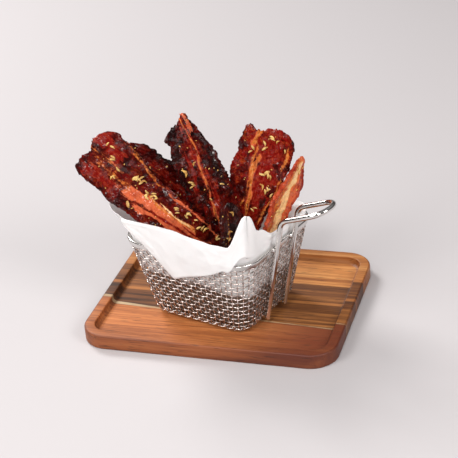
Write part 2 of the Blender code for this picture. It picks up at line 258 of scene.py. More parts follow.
class Surface(NodeTree):
    """The node tree of one material."""

    def __init__(self, name: str) -> None:
        """Start an empty material with that name.

        Args:
            name: The material's name.
        """
        self.material = bpy.data.materials.new(name)
        self.material.use_nodes = True
        super().__init__(self.material.node_tree)
        self.tree.nodes.clear()

    def object_place(self, scale: Sequence[float] = (1, 1, 1)) -> bpy.types.NodeSocket:
        """Return the Object coordinates, stretched by scale."""
        source = self.node("ShaderNodeTexCoord")
        return self._mapped(source.outputs["Object"], scale)

    def map_place(self, scale: Sequence[float]) -> bpy.types.NodeSocket:
        """Return the piece's own map coordinates, stretched by scale."""
        source = self.node("ShaderNodeUVMap", {"uv_map": STRIP_MAP})
        return self._mapped(source.outputs["UV"], scale)

    def _mapped(self, place: bpy.types.NodeSocket, scale: Sequence[float]) -> bpy.types.NodeSocket:
        """Return coordinates that a Mapping node has scaled."""
        node = self.node("ShaderNodeMapping", None, {"Vector": place, "Scale": tuple(scale)})
        return node.outputs["Vector"]

    def axes(self, place: bpy.types.NodeSocket) -> tuple[Value, Value, Value]:
        """Return the three numbers of a vector."""
        node = self.node("ShaderNodeSeparateXYZ", None, {"Vector": place})
        return tuple(Value(self, socket) for socket in node.outputs)

    def attribute(self, name: str) -> Value:
        """Return a number that the mesh holds at each vertex."""
        node = self.node("ShaderNodeAttribute", {"attribute_name": name})
        return Value(self, node.outputs["Fac"])

    def noise(
        self,
        place: bpy.types.NodeSocket,
        scale: float,
        detail: float = 2.0,
        roughness: float = 0.5,
        distortion: float = 0.0,
    ) -> Value:
        """Return layered noise from 0 to 1.

        Args:
            place: The coordinates.
            scale: How many features fit in one unit of them.
            detail: The number of finer layers.
            roughness: How strong each finer layer is.
            distortion: How much the noise is bent.

        Returns:
            The noise.
        """
        inputs = {
            "Vector": place,
            "Scale": scale,
            "Detail": detail,
            "Roughness": roughness,
            "Distortion": distortion,
        }
        return Value(self, self.output(self.node("ShaderNodeTexNoise", None, inputs), 0))

    def grained(self, scale: Sequence[float], *layers: float) -> Value:
        """Return noise over stretched Object coordinates, layered as noise() takes it."""
        return self.noise(self.object_place(scale), 1.0, *layers)

    def cells(self, place: bpy.types.NodeSocket, scale: float) -> Value:
        """Return the distance to the nearest of many scattered points."""
        node = self.node("ShaderNodeTexVoronoi", None, {"Vector": place, "Scale": scale})
        return Value(self, node.outputs["Distance"])

    def blend(self, share: Number, first: Any, second: Any, way: str = "MIX") -> bpy.types.NodeSocket:
        """Mix two colours.

        Args:
            share: How much of the second there is.
            first: The first colour, or a link to it.
            second: The second colour, or a link to it.
            way: The Mix node's blend type.

        Returns:
            The mixed colour.
        """
        node = self.node(
            "ShaderNodeMix",
            {"data_type": "RGBA", "blend_type": way},
            {"Factor_Float": share, "A_Color": first, "B_Color": second},
        )
        return self.output(node, "Result_Color")

    def ramp(self, share: Value, stops: Sequence[tuple[float, Colour]]) -> bpy.types.NodeSocket:
        """Return the colour at a place on a ramp."""
        node = self.node("ShaderNodeValToRGB", {"stops": stops}, {"Fac": share})
        return node.outputs["Color"]

    def bump(
        self,
        height: Value,
        distance: float,
        strength: float = 1.0,
        under: bpy.types.NodeSocket | None = None,
    ) -> bpy.types.NodeSocket:
        """Return a normal that follows a height.

        Args:
            height: The height, from 0 to 1.
            distance: How far 1 stands over 0, in metres.
            strength: How much of the bump shows.
            under: A normal that this bump goes on top of.

        Returns:
            The normal.
        """
        inputs = {"Height": height, "Distance": distance, "Strength": strength}
        if under is not None:
            inputs["Normal"] = under
        return self.node("ShaderNodeBump", None, inputs).outputs["Normal"]

    def finish(self, inputs: dict[str, Any]) -> bpy.types.Material:
        """Close the tree with a Principled shader.

        Args:
            inputs: The shader's values and links, by socket name.

        Returns:
            The finished material.
        """
        shader = self.node("ShaderNodeBsdfPrincipled", None, inputs)
        self.node("ShaderNodeOutputMaterial", None, {"Surface": shader.outputs["BSDF"]})
        return self.material


class GeometryTree(NodeTree):
    """A Geometry Nodes tree with one geometry in and one out."""

    def __init__(self, name: str, sizes: dict[str, tuple[str, Any]]) -> None:
        """Start a tree.

        Args:
            name: The tree's name.
            sizes: Each named input's socket type and value.
        """
        super().__init__(bpy.data.node_groups.new(name, "GeometryNodeTree"))
        interface = self.tree.interface
        interface.new_socket("Geometry", in_out="INPUT", socket_type="NodeSocketGeometry")
        interface.new_socket("Geometry", in_out="OUTPUT", socket_type="NodeSocketGeometry")
        self.values = {}
        for title, (kind, value) in sizes.items():
            socket = interface.new_socket(title, in_out="INPUT", socket_type=kind)
            self.values[socket.identifier] = value
        self.entry = self.node("NodeGroupInput")

    def given(self, name: str) -> bpy.types.NodeSocket:
        """Return the tree's input with that name."""
        return self.entry.outputs[name]

    def stored(self, name: str, kind: str = "FLOAT") -> bpy.types.NodeSocket:
        """Return what the mesh holds under a name, of that data type."""
        node = self.node("GeometryNodeInputNamedAttribute", {"data_type": kind}, {"Name": name})
        return self.output(node)

    def close(self, geometry: bpy.types.NodeSocket, material: bpy.types.Material) -> None:
        """End the tree with realized, smooth geometry in one material.

        Args:
            geometry: The link to the geometry.
            material: The material for all of it.
        """
        smooth = self.node("GeometryNodeSetShadeSmooth", None, {0: geometry})
        real = self.node("GeometryNodeRealizeInstances", None, {0: smooth.outputs[0]})
        inputs = {"Geometry": real.outputs[0], "Material": material}
        painted = self.node("GeometryNodeSetMaterial", None, inputs)
        self.node("NodeGroupOutput", None, {0: painted.outputs[0]})

    def bake(self, piece: bpy.types.Object) -> bpy.types.Object:
        """Run the tree on a piece and leave a plain mesh in it.

        Args:
            piece: The object to run it on.

        Returns:
            The same object, with its plain mesh.
        """
        modifier = piece.modifiers.new(self.tree.name, "NODES")
        modifier.node_group = self.tree
        for identifier, value in self.values.items():
            modifier[identifier] = value
        return plain(piece)


# ------------------------------------------------------------------ mesh tools


def new_piece(name: str, points: Array, faces: Sequence[Sequence[int]]) -> bpy.types.Object:
    """Make a smooth mesh object with its faces pointing out.

    Args:
        name: The object's name.
        points: The vertices, one row each.
        faces: The corners of each face.

    Returns:
        The linked object.
    """
    mesh = bpy.data.meshes.new(name)
    mesh.from_pydata(np.asarray(points, float).tolist(), [], [list(face) for face in faces])
    with edited(mesh) as shape:
        bmesh.ops.recalc_face_normals(shape, faces=shape.faces)
    mesh.shade_smooth()
    return link(bpy.data.objects.new(name, mesh))


@contextmanager
def edited(mesh: bpy.types.Mesh) -> Iterator[bmesh.types.BMesh]:
    """Open a mesh for edits, and write it back when they are done.

    Args:
        mesh: The mesh.

    Yields:
        The mesh as one that can be edited.
    """
    shape = bmesh.new()
    shape.from_mesh(mesh)
    yield shape
    shape.to_mesh(mesh)
    shape.free()


def hold(mesh: bpy.types.Mesh, name: str, values: Array | Sequence) -> None:
    """Store a number or a vector at each point of a mesh.

    Args:
        mesh: The mesh.
        name: The name that materials and node trees read it by.
        values: One number, or one row of three numbers, for each point.
    """
    values = np.asarray(values, np.float32)
    kind, key = ("FLOAT", "value") if values.ndim == 1 else ("FLOAT_VECTOR", "vector")
    mesh.attributes.new(name, kind, "POINT").data.foreach_set(key, values.ravel())


def link(piece: bpy.types.Object) -> bpy.types.Object:
    """Put an object in the scene."""
    bpy.context.scene.collection.objects.link(piece)
    return piece


def plain(piece: bpy.types.Object) -> bpy.types.Object:
    """Turn a piece with modifiers into a plain mesh.

    Args:
        piece: The object.

    Returns:
        The same object, with its plain mesh.
    """
    graph = bpy.context.evaluated_depsgraph_get()
    mesh = bpy.data.meshes.new_from_object(piece.evaluated_get(graph))
    piece.modifiers.clear()
    piece.data = mesh
    return piece


def ring_faces(rows: int, columns: int) -> list[tuple[int, ...]]:
    """Return the faces of stacked closed rings.

    Args:
        rows: How many rings there are.
        columns: How many points each ring has.

    Returns:
        The faces' corners.
    """
    faces = []
    for row in range(rows - 1):
        low, high = row * columns, (row + 1) * columns
        for i in range(columns):
            j = (i + 1) % columns
            faces.append((low + i, low + j, high + j, high + i))
    return faces


def capped_faces(rows: int, columns: int) -> list[tuple[int, ...]]:
    """Return the faces of stacked closed rings, and one face over each end.

    Args:
        rows: How many rings there are.
        columns: How many points each ring has.

    Returns:
        The faces' corners.
    """
    last = (rows - 1) * columns
    ends = [tuple(range(columns)), tuple(range(last, last + columns))]
    return ring_faces(rows, columns) + ends


def settle(piece: bpy.types.Object, slot: SlotName, *nodes: str) -> None:
    """Ride a finished piece on the body, hide the record's nodes that it stands for and log its slot.

    Args:
        piece: The finished object.
        slot: The material slot that it belongs to.
        nodes: The record's nodes that it stands for.
    """
    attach(piece, BODY)
    if nodes:
        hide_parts(*nodes)
    LOG.info("%s: %d faces, slot %s", piece.name, len(piece.data.polygons), slot.value)


def shares(steps: int) -> Array:
    """Return the even shares up to 1 that follow 0, one for each step."""
    return np.linspace(0, 1, steps + 1)[1:]


def unit(vectors: Array) -> Array:
    """Return vectors of length one."""
    return vectors / np.linalg.norm(vectors, axis=-1, keepdims=True)


def arc(centre: tuple[float, float], radius: float, start: float, end: float, steps: int) -> list:
    """Return points of an arc.

    Args:
        centre: Its centre.
        radius: Its radius.
        start: Its first angle, in degrees.
        end: Its last angle, in degrees.
        steps: How many parts it has.

    Returns:
        The points, first to last.
    """
    angles = np.radians(np.linspace(start, end, steps + 1))
    return [(centre[0] + radius * math.cos(a), centre[1] + radius * math.sin(a)) for a in angles]


def smooth(share: Array) -> Array:
    """Return a smooth step of shares, held between 0 and 1."""
    share = np.clip(share, 0, 1)
    return share * share * (3 - 2 * share)


def travelled(route: Array) -> Array:
    """Return how far along a route each of its points is."""
    steps = np.linalg.norm(np.diff(route, axis=0), axis=1)
    return np.concatenate([[0.0], np.cumsum(steps)])


def tube(route: Array, radius: float, sides: int, end_round: float) -> tuple[Array, list]:
    """Sweep a circle along a route and round off its ends.

    Args:
        route: The points of the middle line.
        radius: The tube's radius.
        sides: How many sides it has.
        end_round: How long each rounded end is.

    Returns:
        The points and the faces.
    """
    ahead = unit(np.gradient(route, axis=0))
    place = travelled(route)
    to_end = np.minimum(place, place[-1] - place) / end_round
    girth = radius * np.sqrt(np.clip(1 - (1 - np.clip(to_end, LEAST_END, 1)) ** 2, 0, 1))
    side = unit(np.cross(ahead[0], SKEW_AXIS))
    points = []
    for middle, way, size in zip(route, ahead, girth):
        side = unit(side - way * side.dot(way))
        other = np.cross(way, side)
        for angle in np.linspace(0, 2 * math.pi, sides, endpoint=False):
            points.append(middle + size * (side * math.cos(angle) + other * math.sin(angle)))
    return np.array(points), capped_faces(len(route), sides)


class Grain:
    """Smooth seeded noise over a plane, from -1 to 1."""

    SIZE = 64

    def __init__(self, seed: int) -> None:
        """Fill the lattice from a seed."""
        self.table = np.random.default_rng(seed).uniform(-1, 1, (self.SIZE, self.SIZE))

    def at(self, x: Array, y: Array | float = 0.0) -> Array:
        """Return the noise at points whose features are one unit wide.

        Args:
            x: The points' first coordinate.
            y: The points' second coordinate.

        Returns:
            One number for each point.
        """
        x, y = np.broadcast_arrays(np.asarray(x, float), np.asarray(y, float))
        column, row = np.floor(x).astype(int), np.floor(y).astype(int)
        along, across = smooth(x - column), smooth(y - row)
        corner = [
            [self.table[(column + i) % self.SIZE, (row + j) % self.SIZE] for j in (0, 1)]
            for i in (0, 1)
        ]
        near = corner[0][0] + (corner[1][0] - corner[0][0]) * along
        far = corner[0][1] + (corner[1][1] - corner[0][1]) * along
        return near + (far - near) * across

    def layered(self, x: Array, y: Array | float = 0.0, layers: int = 3) -> Array:
        """Return the noise with finer, weaker layers added.

        Args:
            x: The points' first coordinate.
            y: The points' second coordinate.
            layers: How many layers there are.

        Returns:
            One number for each point.
        """
        total = 0.0
        for layer in range(layers):
            grow = 2.0**layer
            total = total + self.at(x * grow + 11.3 * layer, np.asarray(y) * grow + 7.7 * layer) / grow
        return total


# -------------------------------------------------------------------- finishes


@dataclass(frozen=True)
class WoodTones:
    """The dark, middle and light colour of one stave."""

    dark: Colour
    middle: Colour
    light: Colour

    def stops(self) -> list[tuple[float, Colour]]:
        """Return the tones as a colour ramp."""
        return [(0.30, self.dark), (0.50, self.middle), (0.68, self.light)]


@dataclass(frozen=True)
class AcaciaFinish:
    """Oiled acacia of three glued staves, with the grain along X."""

    back_joint: float = 31 * MM
    front_joint: float = -26.3 * MM
    front_joint_slope: float = -0.055
    sapwood_width: float = 3.6 * MM
    joint_edge: float = 0.15 * MM
    joint_width: float = 0.35 * MM
    heart_streak: float = 4.5 * MM
    back: WoodTones = WoodTones(
        (0.26, 0.080, 0.018, 1), (0.56, 0.215, 0.058, 1), (0.76, 0.36, 0.120, 1)
    )
    middle: WoodTones = WoodTones(
        (0.040, 0.014, 0.005, 1), (0.19, 0.066, 0.019, 1), (0.44, 0.175, 0.048, 1)
    )
    front: WoodTones = WoodTones(
        (0.22, 0.060, 0.019, 1), (0.50, 0.165, 0.048, 1), (0.68, 0.27, 0.088, 1)
    )
    sapwood: Colour = (0.80, 0.60, 0.36, 1)
    # dark red-brown: the front stave's own redder tone to the right, together with painted shadow of the
    # basket there
    ruddy_and_shadow: Colour = (0.19, 0.040, 0.017, 1)
    # the colour that darkens the wood: painted shade on the outer sides and on the recess wall and cove,
    # and a darker rim top
    shade_and_wear_tint: Colour = (0.42, 0.30, 0.24, 1)
    pore: Colour = (0.055, 0.020, 0.009, 1)

    def material(self) -> bpy.types.Material:
        """Return the wood's material.

        Returns:
            The finished material.
        """
        wood = Surface("oiled_acacia")
        here = wood.object_place()
        x, y, _ = wood.axes(here)
        drift = wood.grained((7, 22, 22), 2.0)
        figure = wood.grained((4, 95, 80), 5.0, 0.62, 0.7)
        fibre = wood.grained((26, 900, 900), 3.0, 0.6)
        line = wood.grained((7, 430, 330), 3.0, 0.65)
        tone = figure * 0.80 + drift * 0.28 + line * 0.50 + fibre * 0.24 - 0.42
        past_front = y - x * self.front_joint_slope - self.front_joint
        is_front = past_front.falling(-self.joint_edge, self.joint_edge)
        is_back = (y - self.back_joint).rising(-self.joint_edge, self.joint_edge)
        front = wood.ramp(tone, self.front.stops())
        # towards +X the front stave turns dark red-brown: partly its own tone, partly painted shadow of
        # the basket
        ruddy_and_shadow_share = x.rising(0.0, 0.085) * drift.rising(0.2, 0.55) * 0.9
        front = wood.blend(ruddy_and_shadow_share, front, self.ruddy_and_shadow)
        middle = wood.ramp(tone, self.middle.stops())
        streak = abs(y - self.heart_streak - (drift - 0.5) * 5 * MM)
        streak = streak.falling(0.8 * MM, 3.2 * MM) * 0.75
        middle = wood.blend(streak, middle, self.back.middle)
        sap_edge = self.sapwood_width - x.rising(-0.095, -0.03) * 2.2 * MM
        sap = abs(past_front * 2 - sap_edge) - sap_edge + (figure - 0.5) * 1.5 * MM
        fading = x.falling(-0.09, 0.02) * 0.6 + figure.rising(0.45, 0.6) * 0.55
        middle = wood.blend(sap.falling(-0.5 * MM, 0.5 * MM) * fading, middle, self.sapwood)
        colour = wood.blend(is_front, middle, front)
        colour = wood.blend(is_back, colour, wood.ramp(tone, self.back.stops()))
        dashes = wood.grained((75, 1000, 1000), 1.0).rising(0.60, 0.72)
        colour = wood.blend(dashes * 0.55, colour, self.pore)
        joint = abs(past_front).falling(0.05 * MM, self.joint_width)
        joint = joint + abs(y - self.back_joint).falling(0.05 * MM, self.joint_width)
        colour = wood.blend(joint * 0.45, colour, self.pore)
        # painted shade: the outer sides and the recess wall and cove are darkened to stand for shade;
        # the rim top is darker too
        colour = wood.blend(wood.attribute("wear"), colour, self.shade_and_wear_tint, "MULTIPLY")
        relief = fibre * 0.6 - dashes * 0.5 + 0.5
        return wood.finish(
            {
                "Base Color": colour,
                "Roughness": 0.40 + fibre * 0.22,
                "Specular IOR Level": 0.45,
                "Normal": wood.bump(relief, 0.12 * MM, 0.6),
            }
        )


@dataclass(frozen=True)
class SteelFinish:
    """Stainless steel, from polished to drawn and dulled."""

    name: str
    colour: Colour
    # a darker colour in cloudy patches; on the drawn wire it is partly painted reflection
    darkening: Colour
    roughness: float
    scratch: float
    scale: float = 260.0

    def material(self) -> bpy.types.Material:
        """Return the steel's material.

        Returns:
            The finished material.
        """
        steel = Surface(self.name)
        here = steel.object_place()
        cloud = steel.noise(here, self.scale, 3.0)
        fine = steel.noise(here, self.scale * 9, 2.0)
        colour = steel.blend(cloud.rising(0.42, 0.72) * 0.7, self.colour, self.darkening)
        return steel.finish(
            {
                "Base Color": colour,
                "Metallic": 1.0,
                "Roughness": self.roughness + cloud * self.scratch + fine * self.scratch * 0.6,
                "Normal": steel.bump(fine * 0.4 + cloud * 0.6, 0.05 * MM, 0.5),
            }
        )


@dataclass(frozen=True)
class PaperFinish:
    """White food paper, matt with a faint fibre, with painted shade low down: dark brown on the outer
    face, lighter brown on the inner one.
    """

    white: Colour = (0.93, 0.915, 0.915, 1)
    shade: Colour = (0.87, 0.845, 0.845, 1)
    # painted shade low down: dark brown on the outer face, lighter brown on the inner face, below a wavy
    # height
    low_shade_outer: Colour = (0.15, 0.095, 0.065, 1)
    low_shade_inner: Colour = (0.55, 0.42, 0.30, 1)
    shade_height: float = 43 * MM

    def material(self) -> bpy.types.Material:
        """Return the paper's material.

        Returns:
            The finished material.
        """
        paper = Surface("white_paper")
        here = paper.object_place()
        cloud = paper.noise(here, 60.0, 3.0)
        fibre = paper.grained((1400, 1400, 500), 3.0, 0.65)
        colour = paper.blend(cloud * 0.5 + fibre * 0.3, self.white, self.shade)
        _, _, z = paper.axes(here)
        # painted shade: below a wavy height the sheet turns dark brown, less so on its inner face
        low_shade = paper.blend(paper.attribute("inner"), self.low_shade_outer, self.low_shade_inner)
        darkening = z + (cloud - 0.5) * 22 * MM - self.shade_height
        colour = paper.blend(darkening.falling(-3 * MM, 3 * MM), colour, low_shade)
        return paper.finish(
            {
                "Base Color": colour,
                "Subsurface Weight": 0.22,
                "Subsurface Radius": (0.0016, 0.0013, 0.0013),
                "Subsurface Scale": 1.0,
                "Roughness": 0.55 + fibre * 0.2,
                "Specular IOR Level": 0.3,
                "Normal": paper.bump(fibre * 0.5 + cloud * 0.5, 0.12 * MM, 0.35),
            }
        )


@dataclass(frozen=True)
class BaconFinish:
    """Glazed, well-cooked bacon: lean, streaks of fat, char and a sugar glaze."""

    name: str
    lean_dark: Colour = (0.024, 0.0010, 0.0008, 1)
    lean_bright: Colour = (0.125, 0.0025, 0.0016, 1)
    vein: Colour = (0.42, 0.080, 0.014, 1)
    veins: float = 0.35
    glaze: float = 0.8
    char: Colour = (0.010, 0.0035, 0.003, 1)
    fat: tuple[Colour, ...] = (
        (0.19, 0.0035, 0.002, 1),
        (0.64, 0.130, 0.052, 1),
        (0.58, 0.155, 0.026, 1),
        (0.90, 0.56, 0.26, 1),
    )

    def material(self) -> bpy.types.Material:
        """Return the strip's material.

        Returns:
            The finished material.
        """
        meat = Surface(self.name)
        here = meat.object_place()
        fat, tone, char = (meat.attribute(name) for name in ("fat", "tone", "char"))
        patch = meat.noise(here, 95.0, 4.0, 0.6, 0.6)
        fleck = meat.noise(here, 430.0, 3.0, 0.6)
        grit = meat.noise(here, 1250.0, 2.0, 0.6)
        fibre = meat.noise(meat.map_place((9, 85, 1)), 1.0, 4.0, 0.6, 1.2)
        lean = meat.blend(patch.rising(0.38, 0.60), self.lean_dark, self.lean_bright)
        lean = meat.blend(fibre.rising(0.48, 0.70) * 0.6, lean, self.lean_dark)
        lean = meat.blend(fleck.rising(0.52, 0.68) * 0.55, lean, self.lean_dark)
        crack = abs(meat.noise(here, 170.0, 3.0, 0.55, 1.4) - 0.5).falling(0.0, 0.035)
        lean = meat.blend(crack * patch.rising(0.4, 0.6) * self.veins, lean, self.vein)
        edge = (fat + (fleck - 0.5) * 0.9 + (fibre - 0.5) * 1.1).rising(0.32, 0.66)
        stops = list(zip((0.0, 0.34, 0.67, 1.0), self.fat))
        rich = meat.ramp(tone + (fleck - 0.5) * 0.35 + (fibre - 0.5) * 0.45, stops)
        rich = meat.blend(patch.falling(0.3, 0.5) * 0.35, rich, self.fat[0])
        colour = meat.blend(edge, lean, rich)
        burnt = (char + (patch - 0.5) * 1.1 + (fleck - 0.5) * 0.6).rising(0.32, 0.66)
        colour = meat.blend(burnt * 0.92, colour, self.char)
        blister = meat.cells(here, 480.0).falling(0.0, 0.6)
        coarse = meat.bump(fleck * 0.6 + blister * 0.4, 0.85 * MM, 1.0)
        relief = meat.bump(grit * 0.6 + fibre * 0.4, 0.32 * MM, 0.9, coarse)
        film = meat.bump(meat.noise(here, 330.0, 1.5, 0.5), 0.9 * MM, 1.0)
        wet = meat.noise(here, 170.0, 4.0, 0.65).rising(0.51, 0.55) * self.glaze
        return meat.finish(
            {
                "Base Color": colour,
                "Roughness": 0.30 + grit * 0.2,
                "Specular IOR Level": 0.05,
                "Subsurface Weight": 0.08,
                "Subsurface Radius": (0.0022, 0.0005, 0.0003),
                "Subsurface Scale": 1.0,
                "Coat Weight": wet + blister * self.glaze * 0.15,
                "Coat Roughness": 0.06,
                "Coat IOR": 1.5,
                "Coat Normal": film,
                "Normal": relief,
            }
        )


@dataclass(frozen=True)
class ToppingFinish:
    """Chopped, toasted topping under a thin glaze."""

    name: str
    pale: Colour
    toasted: Colour

    def material(self) -> bpy.types.Material:
        """Return the topping's material.

        Returns:
            The finished material.
        """
        bit = Surface(self.name)
        here = bit.object_place()
        cloud = bit.noise(here, 330.0, 3.0, 0.6)
        fine = bit.noise(here, 1500.0, 2.0)
        colour = bit.blend(cloud.rising(0.38, 0.66), self.pale, self.toasted)
        return bit.finish(
            {
                "Base Color": colour,
                "Roughness": 0.28 + fine * 0.25,
                "Normal": bit.bump(fine, 0.15 * MM, 0.6),
            }
        )


@dataclass(frozen=True)
class GroundFinish:
    """A plain, pale stone ground."""

    colour: Colour = (0.55, 0.525, 0.535, 1)

    def material(self) -> bpy.types.Material:
        """Return the ground's material.

        Returns:
            The finished material.
        """
        ground = Surface("pale_ground")
        shader = {"Base Color": self.colour, "Roughness": 0.75, "Specular IOR Level": 0.25}
        return ground.finish(shader)


POLISHED_STEEL = SteelFinish(
    "polished_steel", (0.78, 0.76, 0.74, 1), (0.62, 0.58, 0.55, 1), 0.06, 0.05, 90.0
)
PRESSED_STEEL = SteelFinish(
    "pressed_steel", (0.74, 0.72, 0.70, 1), (0.58, 0.55, 0.52, 1), 0.16, 0.10, 120.0
)
# the drawn wire's warm pink tint and dark brown patches are partly painted reflection of the wood, bacon
# and paper round it
DRAWN_WIRE = SteelFinish(
    "drawn_wire", (0.72, 0.645, 0.61, 1), (0.28, 0.215, 0.185, 1), 0.12, 0.16, 300.0
)


# ------------------------------------------------------------------------ tray


def rounded_outline(
    half: Sequence[float], corner: float, side_steps: Sequence[int], corner_steps: int
) -> tuple[Array, Array]:
    """Work out a rounded rectangle, counter-clockwise from the middle of +x's corner.

    Args:
        half: Half of its two sides.
        corner: The radius of its corners.
        side_steps: The divisions of the back, left, front and right sides.
        corner_steps: The divisions of each corner.

    Returns:
        Its points, and the directions that point out at each.
    """
    signs = ((1, 1), (-1, 1), (-1, -1), (1, -1))
    middles = [np.array((x * (half[0] - corner), y * (half[1] - corner))) for x, y in signs]
    points, ways = [], []
    for quarter in range(4):
        for step in range(corner_steps + 1):
            angle = math.pi / 2 * (quarter + step / corner_steps)
            ways.append(np.array((math.cos(angle), math.sin(angle))))
            points.append(middles[quarter] + corner * ways[-1])
        start, end = points[-1], middles[(quarter + 1) % 4] + corner * ways[-1]
        for step in range(1, side_steps[quarter]):
            points.append(start + (end - start) * step / side_steps[quarter])
            ways.append(ways[-1])
    return np.array(points), np.array(ways)


@dataclass
class AcaciaTray:
    """The wooden tray: a board with soft edges and a shallow coved recess."""

    rim: float = 8.3 * MM
    floor: float = 6.4 * MM
    corner: float = 21 * MM
    least_corner: float = 4 * MM
    edge_round: float = 1.4 * MM
    lip_round: float = 0.8 * MM
    cove: float = 3.5 * MM
    side_steps: tuple[int, int, int, int] = (6, 5, 6, 5)
    corner_steps: int = 20
    # how much darker the outer sides (painted shade), the rim top and the recess wall and cove (painted
    # shade) are
    edge_shade: float = 0.85
    lip_wear: float = 0.38
    cove_shade: float = 0.65
    finish: AcaciaFinish = AcaciaFinish()

    def profile(self, height: float) -> list[tuple[float, float]]:
        """Return (inset, z) from the underside round to the floor of the recess.

        Args:
            height: The tray's height.

        Returns:
            The points, in order.
        """
        edge, lip = self.edge_round, self.lip_round
        line = arc((edge, edge), edge, 270, 180, 8)
        line += arc((edge, height - edge), edge, 180, 90, 8)
        line += arc((self.rim - lip, height - lip), lip, 90, 0, 6)
        line += arc((self.rim + self.cove, self.floor + self.cove), self.cove, 180, 270, 10)
        return line

    def wear(self, inset: float, z: float, height: float) -> float:
        """Return how much the wood is darkened at a point of the profile: painted shade on the outer
        sides and on the recess wall and cove, and a darker rim top.

        Args:
            inset: How far the point is in from the outline.
            z: Its height.
            height: The tray's height.

        Returns:
            The darkening, from 0 to 1.
        """
        if inset < self.edge_round:
            return self.edge_shade
        if z > height - self.lip_round:
            return self.lip_wear
        return self.cove_shade if z > self.floor + 0.1 * MM else 0.0

    def build(self) -> bpy.types.Object:
        """Return the tray's piece.

        Returns:
            The linked object.
        """
        low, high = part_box("tray")
        half = ((high.x - low.x) / 2, (high.y - low.y) / 2)
        steps = (self.side_steps, self.corner_steps)
        points, wear = [], []
        for inset, z in self.profile(high.z - low.z):
            corner = max(self.corner - inset, self.least_corner)
            ring, _ = rounded_outline((half[0] - inset, half[1] - inset), corner, *steps)
            points.append(np.column_stack((ring, np.full(len(ring), z))))
            wear += [self.wear(inset, z, high.z - low.z)] * len(ring)
        faces = capped_faces(len(points), len(points[0]))
        piece = new_piece("acacia_tray", np.concatenate(points), faces)
        piece.data.set_sharp_from_angle(angle=math.radians(50))
        # the painted shade of the sides and the cove, and the darker rim top, at each point
        hold(piece.data, "wear", wear)
        return piece

    def dress(self, piece: bpy.types.Object) -> None:
        """Give the tray its wood."""
        piece.data.materials.append(self.finish.material())
        settle(piece, SlotName.WOOD, "tray")


# ---------------------------------------------------------------------- basket


@dataclass(frozen=True)
class Stations:
    """Places round the basket, each a straight line up the wall from base to rim."""

    base: Array
    rim: Array
    out: Array


@dataclass(frozen=True)
class BasketForm:
    """The basket's wall: a rounded rectangle that widens from its floor to its rim."""

    centre: tuple[float, float] = (-3.4 * MM, -4.1 * MM)
    turn: float = math.radians(-16.7)
    base_half: tuple[float, float] = (43.7 * MM, 38.2 * MM)
    base_corner: float = 14.8 * MM
    rim_half: tuple[float, float] = (57.6 * MM, 51.8 * MM)
    rim_corner: float = 19.3 * MM
    bottom_round: float = 7 * MM
    mesh_thickness: float = 1.6 * MM
    band_height: float = 4.4 * MM
    band_out: float = 0.7 * MM
    band_in: float = 2.3 * MM

    @property
    def bottom(self) -> float:
        """The height of the basket's underside."""
        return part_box("basket_mesh")[0].z

    @property
    def top(self) -> float:
        """The height of the rim's upper edge."""
        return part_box("basket_rim")[1].z

    def stations(self, side_steps: Sequence[int], corner_steps: int) -> Stations:
        """Return places round the wall, counter-clockwise from the handle's side.

        Args:
            side_steps: The divisions of the four sides, the back one first.
            corner_steps: The divisions of each corner.

        Returns:
            The places.
        """
        base, out = rounded_outline(self.base_half, self.base_corner, side_steps, corner_steps)
        rim, _ = rounded_outline(self.rim_half, self.rim_corner, side_steps, corner_steps)
        return Stations(base, rim, out)

    def ring(self, stations: Stations, z: Array | float, offset: Array | float) -> Array:
        """Return the points at a height, moved out from the wall by offset.

        Args:
            stations: The places round the wall.
            z: The height, or one for each place.
            offset: How far out, or one for each place.

        Returns:
            One point for each place, in the basket's own axes.
        """
        share = (np.asarray(z, float) - self.bottom) / (self.top - self.bottom)
        share, offset = np.broadcast_to(share, len(stations.out)), np.asarray(offset, float)
        offset = np.broadcast_to(offset, len(stations.out))
        flat = stations.base + (stations.rim - stations.base) * share[:, None]
        flat = flat + stations.out * offset[:, None]
        return np.column_stack((flat, np.broadcast_to(z, len(flat))))

    def placed(self, points: Array) -> Array:
        """Turn points from the basket's own axes into the frame's.

        Args:
            points: Points in the basket's own axes.

        Returns:
            The same points in the frame's.
        """
        points = np.asarray(points, float)
        cosine, sine = math.cos(self.turn), math.sin(self.turn)
        u, v, z = points[..., 0], points[..., 1], points[..., 2]
        x = self.centre[0] + u * cosine - v * sine
        y = self.centre[1] + u * sine + v * cosine
        return np.stack((x, y, z), axis=-1)

    def turned(self, ways: Array) -> Array:
        """Turn directions from the basket's own axes into the frame's."""
        return self.placed(ways) - self.placed(np.zeros(3))


@dataclass
class WirePaths:
    """The crossings that woven wires run through, before they are woven."""

    points: list = field(default_factory=list)
    outward: list = field(default_factory=list)
    sides: list = field(default_factory=list)
    edges: list = field(default_factory=list)

    def add(self, points: Sequence, outward: Sequence, sides: Sequence, closed: bool) -> None:
        """Add a wire.

        Args:
            points: Its crossings, in order.
            outward: The direction out of the mesh at each.
            sides: 1 where it passes outside, -1 inside and 0 where it does neither.
            closed: Whether it is a loop.
        """
        first = len(self.points)
        self.points += list(points)
        self.outward += list(outward)
        self.sides += list(sides)
        self.edges += [(first + i, first + i + 1) for i in range(len(points) - 1)]
        if closed:
            self.edges.append((first + len(points) - 1, first))

    def piece(self, name: str) -> bpy.types.Object:
        """Return the wires as an object of plain edges.

        Args:
            name: The object's name.

        Returns:
            The linked object, which also holds the directions and sides.
        """
        mesh = bpy.data.meshes.new(name)
        mesh.from_pydata([tuple(point) for point in self.points], self.edges, [])
        hold(mesh, "outward", self.outward)
        hold(mesh, "side", self.sides)
        return link(bpy.data.objects.new(name, mesh))


